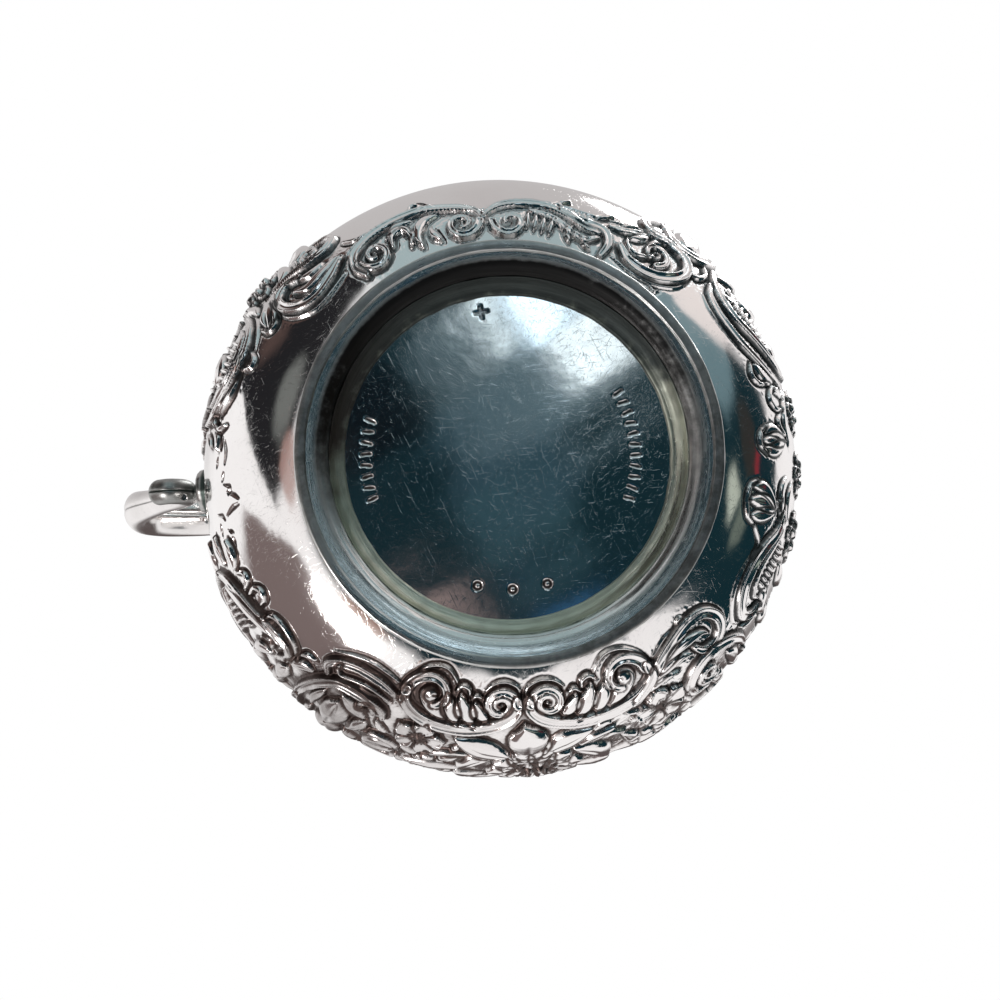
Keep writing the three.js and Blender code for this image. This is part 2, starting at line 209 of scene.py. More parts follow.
def leafy(x, t):
    """A petal or leaf: domed, creased down the middle, sinking towards its root."""
    crease = 1 - 0.26 * np.exp(-((x / 0.11) ** 2)) * np.clip(1.05 - t, 0, 1)
    return np.clip(1 - np.abs(x) ** 2.8, 0, 1) ** 0.8 * crease * (0.55 + 0.45 * np.clip(t * 2, 0, 1))


def cupped(x, t):
    """A petal with a raised edge and a hollow middle."""
    return np.interp(np.abs(x), [0, 0.45, 0.75, 0.92, 1], [0.45, 0.58, 1, 0.7, 0]) * (0.6 + 0.4 * t)


def sunk(x, t):
    """A cut: a rounded valley."""
    return np.clip(1 - x * x, 0, 1)


LEAF = [0.05, 0.55, 0.86, 1, 0.97, 0.8, 0.5, 0.06]  # half widths of a leaf along its length
HOOK = [0.35, 0.8, 1, 0.95, 0.75, 0.5]


def band(points, half=0.8, height=0.95, **kw):
    """A scroll's band, a little slimmer at both ends."""
    draw(points, half * np.array([0.55, 0.9, 1, 1, 1, 0.9, 0.6]), rolled, height, **kw)


def rib(points, half=0.28, height=0.5, **kw):
    """A fine half-round line."""
    draw(points, half * np.array([0.4, 1, 1, 0.4]), rounded, height, groove=0.1, **kw)


def leaf(points, half, height=0.9, **kw):
    """A pointed leaf."""
    draw(points, half * np.array(LEAF), leafy, height, **kw)


def hook(points, half=0.5, height=0.8, **kw):
    """A short half-round stroke with a full end."""
    draw(points, half * np.array(HOOK), rounded, height, **kw)


def cut(points, half=0.4, depth=0.4, **kw):
    """A stroke sunk into what is raised."""
    draw(points, half * np.array([0.5, 1, 0.8, 0.3]), sunk, -depth, **kw)


def curl(centre, start_r, end_r, start, end, half=(0.75, 0.4), height=1.0, **kw):
    """A volute: a band wound in from one radius to another, from one direction to another, in degrees."""
    turn = np.radians(np.linspace(start, end, max(8, int(abs(end - start) / 20))))
    share = np.linspace(0, 1, len(turn))
    radius = start_r + (end_r - start_r) * share**0.85
    mm = mm_per_degree(centre[1])
    points = np.stack([centre[0] + radius * np.cos(turn) / mm, centre[1] + radius * np.sin(turn)], 1)
    draw(points, np.interp(share, [0, 1], half), rolled, height, **kw)
    draw([
        (centre[0] - 0.1, centre[1]), (centre[0] + 0.1, centre[1]),
    ], max(end_r * 0.62, 0.3), rounded, height, **kw)


def bead(angle, run, radius=0.3, height=0.45, **kw):
    """A small round knob."""
    draw([(angle - 0.05, run), (angle + 0.05, run)], radius, rounded, height, groove=0.08, **kw)


def petals(centre, count, inner, outer, half, height, shape=leafy, first=0.0, **kw):
    """A ring of petals round a centre, from an inner to an outer radius."""
    mm = mm_per_degree(centre[1])
    for i in range(count):
        turn = math.radians(first + 360 * i / count)
        ends = [
            (centre[0] + r * math.cos(turn) / mm, centre[1] + r * math.sin(turn))
            for r in (inner, (inner + outer) / 2, outer)
        ]
        draw(ends, half * np.array([0.3, 0.62, 0.86, 1, 1, 0.8, 0.1]), shape, height, **kw)


def blossom(centre, count=5, size=3.5, height=1.0, first=0.0, **kw):
    """An open flower: a ring of cupped petals round a dark eye with fine rays."""
    petals(centre, count, 0.9, size, size * 0.44, height, cupped, first, **kw)
    petals(centre, count * 4, 0.5, size * 0.5, 0.09, -0.35, sunk, first, **kw)
    mm = mm_per_degree(centre[1])
    for mirrored in (False, True) if kw.get("both", True) else (False,):
        run = 2 * MIDDLE_RUN - centre[1] if mirrored else centre[1]
        angle = (ANGLES - centre[0] + 180) % 360 - 180
        spot = ((angle * mm)[None, :] ** 2 + (SHEET_RUNS - run)[:, None] ** 2) / (size * 0.36) ** 2
        dark[:] = np.maximum(dark, np.exp(-(spot**2)))
    bead(*centre, 0.55, height * 0.75, **kw)


def rose(angle, size):
    """A full flower on the line between the tiers: two rings of petals round a bead."""
    centre = (angle, MIDDLE_RUN)
    petals(centre, 7, 0.9, size, size * 0.34, 1.0, cupped, 12, both=False)
    petals(centre, 5, 0.4, size * 0.6, size * 0.24, 1.45, leafy, 40, both=False)
    bead(*centre, 0.5, 1.5, both=False)


def ribs(start, end, count, length, lean=0.0, half=0.42, height=0.75, **kw):
    """A row of short fluted lobes that hang from a line."""
    for i in range(count):
        share = i / max(count - 1, 1)
        a = start[0] + (end[0] - start[0]) * share
        s = start[1] + (end[1] - start[1]) * share
        leaf([(a, s), (a + lean / 2, s + length / 2), (a + lean, s + length)], half, height, **kw)


def flower_side():
    """Two C-scrolls back to back over a tulip and a chrysanthemum, between open flowers, round +Y."""
    for way, stretch in ((-1, 1.0), (1, 0.88)):

        def at(*points):
            return [(89.2 + way * stretch * d, s) for d, s in points]

        def turn(degrees):
            return degrees if way < 0 else 180 - degrees

        band(at(
            (30.6, 9.6), (30.2, 11.6), (27, 13.2), (22, 14), (16, 14.1), (10, 13.4), (5, 12.2), (1.9, 10.4),
            (1.2, 8.4),
        ), 1.15)
        curl(at((5.8, 9.1))[0], 2.35, 0.55, turn(0), turn(-600), (0.72, 0.36), 1.2)
        rib(at((10.2, 7.4), (8, 6.2), (4.6, 5.8), (1.4, 6.6), (0.6, 8)), 0.3, 0.55)
        curl(at((24.2, 9.3))[0], 3.5, 1.5, turn(170), turn(425), (0.95, 0.5), 1.05)
        rib(at((31.8, 9.6), (30.2, 7.2), (26.6, 5.3), (22, 5), (18.4, 6.6), (17.8, 7.8)), 0.32, 0.6)
        leaf(at((19, 13), (22.5, 11.5), (25.4, 9.6), (24.4, 8.5), (22.6, 8.9)), 1.35, 0.9)
        leaf(at((16.0, 13.4), (18.3, 11), (20.2, 8.4)), 1.25, 0.85)
        leaf(at((12.0, 13.0), (14.6, 10.8), (16.8, 8.0)), 1.35, 0.95)
        leaf(at((8.4, 12.2), (11, 10.8), (12.8, 8.8)), 1.1, 0.85)
        hook(at((18.2, 7.9), (16.8, 6.9), (14.8, 7.2), (14.2, 8.2)), 0.42)
        hook(at((14, 8.9), (12.6, 8), (11, 8.3)), 0.36)
        for d, s in ((14.9, 13.5), (12.4, 13.6), (10.9, 12.5)):
            cut(at((d - 0.7, s), (d + 0.7, s)), 0.2, 0.5)
    leaf([(85.4, 19.9), (81.5, 17.8), (74.5, 15.4)], 2.1, 1.1)
    leaf([(91.4, 20.2), (96.5, 18.6), (103.4, 15.6)], 2.4, 1.1)
    draw([
        (88.1, 19.6), (88.0, 16.4), (88.9, 12.6),
    ], 3.0 * np.array([0.5, 0.86, 1, 1, 0.92, 0.62, 0.08]), leafy, 1.3)
    leaf([(78, 19.9), (74.6, 18.6), (69.6, 17.6)], 0.9, 0.8)
    leaf([(76.6, 19.8), (72, 19.2), (67.6, 20.2)], 0.7, 0.7)
    leaf([(74.6, 17), (72, 15.9), (70.2, 16.4)], 0.8, 0.7)
    leaf([(99, 20.2), (104, 20.8), (109, 22.2)], 0.8, 0.75)
    crown = (86.6, 25.0)
    petals(crown, 10, 2.2, 6.9, 1.85, 0.95, leafy, 8, both=False)
    petals(crown, 8, 1.5, 5.1, 1.6, 1.25, cupped, 24, both=False)
    petals(crown, 6, 0.7, 3.3, 1.25, 1.5, cupped, 5, both=False)
    petals(crown, 5, 0.2, 1.8, 0.7, 1.65, leafy, 30, both=False)
    leaf([(79, 20.4), (74.5, 23), (72.4, MIDDLE_RUN)], 2.0, 1.0)
    leaf([(95.5, 20.6), (99.5, 22.6), (101.5, 25.6)], 1.7, 1.0)
    leaf([(69, 21.4), (67.2, 23.6), (67, MIDDLE_RUN)], 1.2, 0.8)
    leaf([(100.5, 21), (104, 22.6), (105.5, 25)], 1.1, 0.8)
    for tip in ((100.4, 112.4), (72, 58.6)):
        line = [(tip[0], MIDDLE_RUN), (sum(tip) / 2, MIDDLE_RUN), (tip[1], MIDDLE_RUN)]
        leaf(line, 1.5, 1.05, both=False)
    leaf([(104, 23.4), (109, 24.6), (112.6, 26.2)], 0.9, 0.9)
    leaf([(69, 25.4), (64, 24.4), (60, 25.2)], 0.9, 0.9)
    blossom((59.8, 19), 5, 4.2, 1.15, -90)
    blossom((110.3, 18.4), 5, 3.7, 1.15, -100)
    bead(65.8, 18.5, 0.75, 0.7)
    leaf([(62.6, 17.6), (65, 16.9), (67.4, 16.2)], 0.5, 0.6)
    leaf([(101.8, 18.4), (102.6, 19.2), (103.4, 20)], 0.6, 0.5)


def left_scrolls():
    """From the flower side round towards the lip."""
    band([
        (47.4, 13.2), (46.2, 14.6), (43, 15.3), (40.2, 14.1), (39.3, 11.8), (41.2, 9.6), (46, 8.8),
        (52, 9.5), (57, 10.9), (60.5, 12.8), (64, 14.4),
    ], 0.95, 1.05)
    rib([(44.8, 8.1), (46, 7.5), (47.6, 7.9)], 0.35, 0.6)
    rib([(48, 8), (52, 8.2), (56.4, 9.4)], 0.26, 0.4)
    leaf([(57, 12.4), (51, 10.9), (44.6, 11.8), (43, 13.4)], 1.0, 0.85)
    leaf([(59.5, 13.6), (54, 12.4), (49.4, 13), (48.6, 14.4)], 0.85, 0.85)
    leaf([(61, 14.6), (57, 13.8), (52.6, 14.6)], 0.6, 0.7)
    band([
        (38.6, 24), (38.8, 21), (40.4, 18.4), (43.6, 16.6), (47.6, 16.2), (51, 17.2), (53, 19.2),
        (52.6, 21.8), (49.6, 23.4),
    ], 0.95, 1.05)
    curl((48.2, 20.2), 2.2, 0.5, 120, -420, (0.6, 0.35), 1.2)
    rib([(40, 16.9), (43, 15.8), (48, 15.5), (51.6, 16.5), (53.2, 18)], 0.26, 0.45)
    leaf([(54, 20), (55, 22.4), (53.4, 25.4)], 0.7, 0.7)
    leaf([(42.5, 21), (41.6, 24), (42.6, MIDDLE_RUN)], 1.1, 0.8)
    leaf([(47, 24), (46.4, 25.6), (48, MIDDLE_RUN)], 1.2, 0.9)
    leaf([(57, 23.2), (60.5, 23.6), (62, MIDDLE_RUN)], 1.3, 0.9)
    band([
        (12.6, 18.4), (16.4, 17.6), (20.4, 15.4), (25, 14), (30, 13.9), (33.8, 15.3), (35.3, 17.2),
        (33.8, 19.3), (31.6, 20),
    ], 1.0, 1.1)
    rib([
        (20.6, 13.9), (24.6, 12.9), (29.4, 12.5), (33.8, 13.4), (36.9, 15.5), (37.5, 17), (36, 18.6),
    ], 0.3, 0.5)
    for i in range(7):
        bead(14.6 + i, 17.1 - 0.45 * i, 0.24, 0.35)
    band([(15.6, 20), (20, 17.9), (24, 16.6), (28, 16.5), (30.6, 17.6), (30.4, 19)], 0.4, 0.85)
    ribs((18.4, 19.2), (27.6, 17.4), 8, 3.0, 0.8, 0.42, 0.8)
    leaf([(24, 21.4), (27.4, 20.2), (31, 21.6), (31.6, 24.6)], 1.2, 0.9)
    leaf([(33, 21.8), (35.4, 20.6), (37.6, 18.8)], 0.6, 0.7)
    leaf([(31, 20.8), (34, 20), (36.4, 18.2)], 0.5, 0.6)
    leaf([(22, 22.6), (23.4, 24.6), (25.4, MIDDLE_RUN)], 1.4, 0.9)
    leaf([(30, 24), (31.6, 25.4), (33.4, MIDDLE_RUN)], 1.3, 0.9)
    leaf([(8.6, 9.9), (8.8, 12.6), (12.8, 15.9)], 1.1, 0.85)
    leaf([(15.6, 10.4), (14.6, 12.8), (13.3, 15.7)], 1.1, 0.85)
    leaf([(12, 9.6), (11.8, 12.4), (13, 15.4)], 1.15, 1.15)
    hook([(7, 11.2), (8.4, 9.7), (12, 9.3), (15.6, 9.9), (17, 11.2)], 0.45, 0.7)
    hook([(24.4, 13), (20.6, 13.6), (17, 11.6)], 0.32, 0.5)
    leaf([(15.4, 19.5), (11.4, 17.4), (7.4, 17.2), (5, 18.6)], 0.9, 0.85)
    leaf([(14, 21), (9.4, 20), (5.6, 21.4)], 0.9, 0.8)
    hook([(10.2, 16.8), (11.2, 15.9), (12.2, 16.9)], 0.35, 0.6)
    rose(3.5, 3.6)
    rose(15.5, 4.0)


def lip_side():
    """Under the lip: buds, curled leaves and a gadrooned scroll, then the boss beside the panel."""
    for lean, height in ((-1.9, 0.85), (1.9, 0.85), (0, 1.15)):
        leaf([(358 + lean, 12.2), (357.8 + lean * 1.1, 15), (358, 18.4)], 1.05, height)
    hook([(354.6, 13.4), (356.2, 11.9), (359, 11.6), (361, 13)], 0.42, 0.7)
    hook([(351.5, 18.8), (353.4, 17), (355, 17.2), (356.6, 18.8)], 0.45, 0.7)
    hook([(346.4, 18.4), (347, 16.6), (349.2, 15.8), (351.2, 17.2), (351.2, 19)], 0.5, 0.8)
    leaf([(349, 20.4), (347.4, 19), (347.4, 17.2)], 0.8, 0.7)
    leaf([(345.4, 18.6), (344.4, 16), (340.8, 13.9)], 1.15, 0.9)
    hook([(340.4, 13.6), (343, 12.9), (345.2, 13.9), (346, 16.6)], 0.42, 0.8)
    leaf([(359, 20.6), (354.4, 19.4), (350, 20.4), (347, 22.6)], 0.8, 0.8)
    rose(351, 3.8)
    band([
        (321.6, 15.6), (323.4, 13.6), (328, 12.6), (334, 13.2), (339, 15), (343.4, 17.8), (346.4, 21),
    ], 0.75, 0.9)
    band([
        (319.8, 19.4), (321.6, 17), (325.4, 15.3), (330.4, 15.4), (335, 17.2), (339.6, 20), (343, 23.4),
        (344.4, MIDDLE_RUN),
    ], 0.85, 1.15)
    rib([(322, 12.8), (326, 11.7), (331.6, 12), (336.4, 12.9)], 0.26, 0.4)
    curl((324.8, 18), 1.6, 0.45, 90, -330, (0.55, 0.32), 1.0)
    ribs((328.2, 17.4), (338.4, 21.6), 8, 3.0, -0.7, 0.45, 0.85)
    leaf([(321, 20.4), (322.6, 22.8), (325.4, 24.6)], 1.0, 0.85)
    leaf([(327, 21.8), (330, 23.8), (331.4, MIDDLE_RUN)], 1.3, 0.9)
    leaf([(337, 24.6), (339, 26), (340, MIDDLE_RUN)], 1.4, 0.9)
    hook([(317.4, 13.6), (319, 14.4), (319.4, 16.4), (318, 18)], 0.55, 0.8)
    band([
        (300.4, 9.2), (303.6, 7.6), (308, 7.3), (312.4, 8.2), (315.6, 10.4), (316.2, 13), (314, 15.2),
        (309.6, 15.8), (305, 15),
    ], 0.95, 1.15)
    rib([(299.6, 7), (306, 6.2), (312.2, 6.8), (316.6, 8.8), (317.8, 11.4), (317, 14)], 0.3, 0.5)
    curl((308.4, 11.4), 2.3, 0.5, -60, 400, (0.6, 0.35), 1.15)
    hook([(301, 11.6), (302.2, 9.8), (305.2, 9.4), (308.4, 10.6)], 0.5, 0.85)
    leaf([(305.6, 15.4), (303.8, 13), (301.4, 11.4)], 0.8, 0.8)
    leaf([(309.4, 15.6), (307, 14.2), (306, 12)], 0.7, 0.7)
    rib([(312, 6.3), (313.6, 6), (314.6, 6.6)], 0.3, 0.5)
    band([(305.4, 23.4), (303, 20.6), (302.8, 18), (305.2, 16.5), (308.6, 17.2)], 0.8, 1.0)
    band([
        (307.4, 20.4), (309.4, 18), (313, 17.4), (316.4, 19.2), (318, 22.4), (318.4, MIDDLE_RUN),
    ], 0.95, 1.1)
    leaf([(312.4, 19.4), (312, 23), (312.6, MIDDLE_RUN)], 2.6, 1.3)
    leaf([(306.6, 22), (307, 24.6), (308, MIDDLE_RUN)], 1.3, 0.9)


def panel_border():
    """The scrolls that frame the plain panel round -Y."""
    band([
        (267.3, 9.4), (264.6, 11.1), (259, 12.4), (253, 13.3), (246, 13.2), (240.4, 12.5), (236.2, 11.2),
        (234.2, 9), (235.2, 7),
    ], 0.8, 1.05)
    band([
        (267.5, 10), (270.4, 11.4), (275, 12.2), (281, 12.2), (286.4, 11.3), (291, 9.8), (294.6, 9.6),
    ], 0.75, 1.0)
    rib([
        (267.5, 11), (264.4, 12.2), (259, 13.4), (253.6, 14.4), (247, 14.6), (240, 13.9), (234, 12.6),
    ], 0.26, 0.5)
    rib([
        (267.5, 11), (271, 12.8), (276, 13.6), (282, 13.5), (288, 13.3), (294, 13.5), (300, 14.8),
        (303.4, 16),
    ], 0.26, 0.5)
    curl((239.8, 9), 2.55, 0.55, 180, 620, (0.62, 0.34), 1.15)
    curl((261.8, 8.5), 2.5, 0.5, 0, -480, (0.7, 0.35), 1.15)
    curl((273.4, 8.3), 2.5, 0.6, 180, 560, (0.7, 0.35), 1.1)
    hook([(244.4, 8.6), (245.6, 10.6), (248.4, 10.9), (249.6, 9.2), (248.6, 7.6)], 0.6, 0.9)
    leaf([(257.4, 11.6), (253.4, 10.9), (250.8, 8.6), (251.2, 6.4)], 0.95, 0.95)
    leaf([(254.4, 9.6), (254.6, 8), (256.2, 6.4)], 0.7, 0.8)
    leaf([(251.4, 12.2), (247.4, 11.9), (243.8, 10.6)], 0.7, 0.8)
    ribs((277.4, 7.2), (283.2, 6.6), 4, 3.2, 0.3, 0.5, 0.85)
    band([(278, 10.8), (283.6, 9.8), (288.2, 8.2), (292, 7.6), (295, 8.8)], 0.6, 0.9)
    band([(285, 12), (290.6, 10.8), (295.4, 10.6), (297.8, 8.4), (297.2, 6)], 0.7, 1.0)
    band([(296.4, 12.2), (300, 12.6), (304, 14.4)], 0.6, 0.9)
    leaf([(288.6, 9.8), (287.6, 8), (288.8, 6.2)], 0.6, 0.7)
    leaf([(291.2, 8.4), (292.4, 7), (294.4, 6.2)], 0.5, 0.7)
    for i in range(8):
        bead(282.6 + 1.25 * i, 12.75, 0.24, 0.4)
    for a, s in ((283.2, 13.6), (293, 13.4), (298.6, 13.8)):
        leaf([(a, s - 0.6), (a + 1.8, s + 0.6), (a + 4, s + 1.5)], 0.55, 0.75)
    hook([(256.6, 13.8), (254.4, 15.4), (252.4, 15.6), (251.4, 14.6)], 0.5, 0.7)
    hook([(241.4, 14.1), (238.4, 14.4), (236, 15.9)], 0.4, 0.6)


def right_scrolls():
    """Between the panel and the handle."""
    band([
        (233.6, 12.6), (229, 11), (223.6, 10.3), (219.4, 11.3), (217.4, 13.6), (218.2, 16.1), (221.4, 17.1),
        (224.6, 16),
    ], 0.9, 1.1)
    rib([(232, 9.9), (226.6, 9), (221, 9), (217.4, 10.6), (215.8, 13), (216.4, 16)], 0.3, 0.5)
    leaf([(234, 13.6), (229, 12.8), (223.6, 12.6), (220.6, 14.6)], 1.0, 0.9)
    leaf([(230.6, 14.8), (227, 14.4), (223.6, 15.6)], 0.8, 0.8)
    band([
        (219.6, 19.4), (223.4, 18.6), (228, 17.2), (232.4, 16.9), (235.2, 18.2), (234.6, 20.2), (232, 21),
    ], 0.75, 1.0)
    curl((230, 19.2), 1.5, 0.4, 180, -200, (0.5, 0.3), 1.0)
    leaf([(221.6, 20.4), (224, 22.2), (224.6, 25.4)], 1.3, 0.9)
    leaf([(227, 21.4), (229.6, 23.4), (230.4, MIDDLE_RUN)], 1.4, 1.0)
    rose(219, 4.2)
    leaf([(211.4, 14.5), (214, 15.2), (217.8, 18)], 1.15, 1.0)
    hook([(210.8, 16), (211.2, 14.4), (213.6, 14), (216.4, 15.6), (217.8, 17.8)], 0.42, 0.7)
    leaf([(212.2, 15.8), (213.4, 17.4), (215.6, 18.2)], 0.6, 0.7)
    band([
        (190.8, 24.4), (192, 22), (195, 19.8), (199.4, 17.9), (204.6, 17.2), (209, 18.1), (211.8, 20.4),
        (212.6, 23.4),
    ], 0.75, 1.1)
    band([(194.6, 24.6), (196.6, 22), (200, 19.9), (204.8, 19.1), (208.4, 20), (210, 22.4)], 0.6, 0.95)
    rib([(202, 16.4), (202.8, 14.9), (204.8, 14.8), (206.2, 16.2)], 0.34, 0.6)
    rib([(206.6, 15.6), (210, 16.8), (212.6, 18.8), (213.8, 21.6)], 0.26, 0.45)
    ribs((198.6, 21), (207.2, 20.6), 7, 3.2, 0.2, 0.46, 0.85)
    leaf([(202, 16.8), (197, 17.6), (192.2, 19.4)], 0.8, 0.8)
    leaf([(214, 20.2), (214.8, 22.6), (213.4, 25.4)], 0.9, 0.8)
    leaf([(199, 25.2), (202, 25.8), (205.6, MIDDLE_RUN)], 1.3, 0.9)
    hook([(190.4, 17.5), (189.5, 19.2), (190.6, 20.8), (192.2, 20.9)], 0.5, 0.75)
    leaf([(190, 21.2), (188, 19.6), (185, 19.4)], 0.7, 0.6)
    leaf([(189, 24.8), (187.6, 22.8), (186, 21.6)], 0.7, 0.6)


def behind_handle_scrolls():
    """From the handle round to the flower side."""
    hook([(139.3, 17.6), (142, 16), (146, 15.4), (149, 16.1), (149.8, 17.8)], 0.5, 0.7)
    band([
        (142.4, 21.4), (140.8, 19.2), (142.2, 17.5), (146.6, 17.4), (151.4, 18.9), (156.4, 20.6),
        (160.4, 23), (162.6, MIDDLE_RUN),
    ], 0.8, 1.15)
    leaf([(143.6, 19.4), (149, 19.9), (155, 22), (160, 25.4)], 1.35, 0.8)
    hook([(144, 21.4), (145.2, 20.2), (147.2, 20.8), (147.4, 22)], 0.42, 0.9)
    for i in range(5):
        leaf([
            (150 + 1.5 * i, 22.4 + 0.5 * i), (151 + 1.4 * i, 24.4 + 0.4 * i), (151.4 + 1.3 * i, MIDDLE_RUN),
        ], 0.5, 0.9)
    leaf([(143.6, 22.8), (146, 24.6), (147, MIDDLE_RUN)], 1.3, 0.95)
    leaf([(139.6, 21.8), (140, 24), (139.8, MIDDLE_RUN)], 1.5, 1.0)
    leaf([(134.8, 17.2), (137.6, 17.8), (140.4, 19.8)], 1.15, 0.85)
    hook([(152.2, 17.2), (152.8, 15.9), (154.6, 15.5), (156, 16.6), (155.4, 18.2)], 0.5, 0.75)
    hook([(156.6, 19), (158, 17.4), (159.8, 17.6), (160.4, 19.4)], 0.45, 0.7)
    leaf([(160.8, 19.6), (164, 19.2), (167.6, 19)], 1.35, 0.9)
    leaf([(163, 22.6), (166, 23.8), (169.4, 23.4)], 1.2, 0.7)
    leaf([(135.8, 15.2), (138.2, 15.6), (139.6, 16.8)], 0.5, 0.6)
    rib([(116.4, 10), (121, 9.2), (126, 9), (130.4, 9.8), (134.6, 11.4)], 0.3, 0.5)
    band([(117, 11.8), (122, 10.8), (127.6, 10.8), (131.8, 11.9), (134, 13.6), (132.8, 15)], 0.75, 1.05)
    hook([(118.6, 13.4), (122.4, 12.7), (126.6, 13), (130, 13.8), (131.6, 13.2), (131.6, 12.2)], 0.45, 0.7)
    hook([(121.6, 13.6), (124.6, 13.6), (127.6, 14)], 0.4, 0.6)
    band([
        (118.4, 16.8), (119.6, 15.3), (124.4, 14.7), (129.6, 15.2), (132.8, 17.6), (134.4, 20.6),
        (135.2, 24), (135.2, MIDDLE_RUN),
    ], 0.95, 1.15)
    curl((122.6, 16.9), 1.5, 0.4, 180, 500, (0.5, 0.3), 1.0)
    leaf([(121.2, 19.6), (124, 18.6), (128, 16.4)], 1.3, 0.9)
    leaf([(121, 20), (122, 22.4), (124.2, 25)], 1.3, 0.95)
    leaf([(127.6, 18.8), (127.4, 23), (127.8, MIDDLE_RUN)], 2.6, 1.4)
    leaf([(131, 18.6), (132, 22), (131.8, 25.4)], 1.0, 0.9)
    hook([(113.2, 24.8), (114.4, 23), (117.6, 22.3), (120.8, 23)], 0.6, 0.9)
    leaf([(116.2, 20.8), (118, 20), (119.4, 18.4)], 0.7, 0.7)
    leaf([(108.4, 24.6), (111, 23.4), (113.4, 21.8)], 0.9, 0.8)
    leaf([(114, 25.6), (117.6, 25), (120.6, MIDDLE_RUN)], 1.3, 0.9)
    for points in HANDLE_CUTS:
        cut(points, 0.42, 0.38)
    for a in (116, 117.2, 118.4, 119.6):
        for s in (12.9, 13.4):
            cut([(a - 0.1, s), (a + 0.1, s)], 0.16, 0.25)


HANDLE_CUTS = (
    [(182.4, 17.4), (185, 17.1), (187.2, 17.6)],
    [(185.4, 18.5), (187.8, 18.2)],
    [(176, 16.8), (177.6, 16.3), (178.4, 18)],
    [(179, 18.3), (180.8, 17.7)],
    [(173.4, 14.6), (172.9, 16.2), (171.8, 18)],
    [(174.7, 14.4), (175.9, 15.6), (176.5, 17.1)],
    [(171.2, 18.8), (172.3, 19.6), (172.8, 21.2)],
    [(165.7, 17.5), (167.3, 17.6)],
    [(168.2, 17.2), (169, 18.4)],
    [(168.4, 20.8), (170.8, 20.6)],
    [(182, 20), (184, 19.5)],
)


def blurred(field, size):
    """A soft copy of the sheet, as if seen through a blur of so many millimetres."""
    wave_a = np.fft.fftfreq(field.shape[1])[None, :] * field.shape[1] / 360 / mm_per_degree(TYPICAL_RUN)
    tall = np.pad(field, ((BLUR_MARGIN, BLUR_MARGIN), (0, 0)), mode="edge")
    wave_s = np.fft.fftfreq(tall.shape[0])[:, None] / SHEET_STEP
    soft = np.exp(-2 * (math.pi**2) * ((wave_a * size) ** 2 + (wave_s * size) ** 2))
    return np.fft.ifft2(np.fft.fft2(tall) * soft).real[BLUR_MARGIN:-BLUR_MARGIN]


def beside(angle, spread, angles=ANGLES):
    """1 at an angle round the jug, falling off to both sides, for each column of the sheet."""
    return np.exp(-(((angles - angle) / spread) ** 2))[None, :]


def make_relief():
    """Draws all the strokes, and gives the sheet's height in millimetres and its tarnish from 0 to 1, thinned
    round -Y as painted light.
    """
    flower_side()
    left_scrolls()
    lip_side()
    panel_border()
    right_scrolls()
    behind_handle_scrolls()
    swell = blurred(np.clip(high, 0, 1), SWELL_SIZE)
    ground = np.clip(1 - high / 0.12, 0, 1) * np.clip(swell * 4 - 0.3, 0, 1)
    grain = np.random.default_rng(7).normal(0, 1, high.shape)
    stipple = blurred(grain, 0.1) * 0.05
    height = blurred(high, 0.1) + blurred(low, 0.07) + 0.45 * swell + stipple * ground
    # The work is flatter under the lip.
    height = height * (1 - 0.42 * beside(0, 48, (ANGLES + 180) % 360 - 180))
    chased = np.clip(-blurred(low, 0.07) / 0.16 - 0.25, 0, 1) * np.clip(swell * 5, 0, 1)
    narrow = np.clip((blurred(height, 0.4) - height - 0.05) / 0.15, 0, 1)
    wide = 0.75 * np.clip((blurred(height, 1.0) - height - 0.14) / 0.4, 0, 1)
    hollow = np.maximum(np.maximum(narrow, wide), chased)
    # Tarnish lies heaviest between the handle and the flowers.
    heavy = 0.42 * beside(128, 26) * np.clip(swell * 3, 0, 1)
    # The tarnish is thinned round -Y, the side away from the flowers, and a little beside the flowers, which
    # paints these sides lighter as painted light.
    lighter_sides = 1 - 0.68 * beside(272, 46) - 0.3 * beside(66, 26)
    grime = np.clip(hollow + 0.8 * dark + heavy, 0, 1) * lighter_sides
    return height, grime


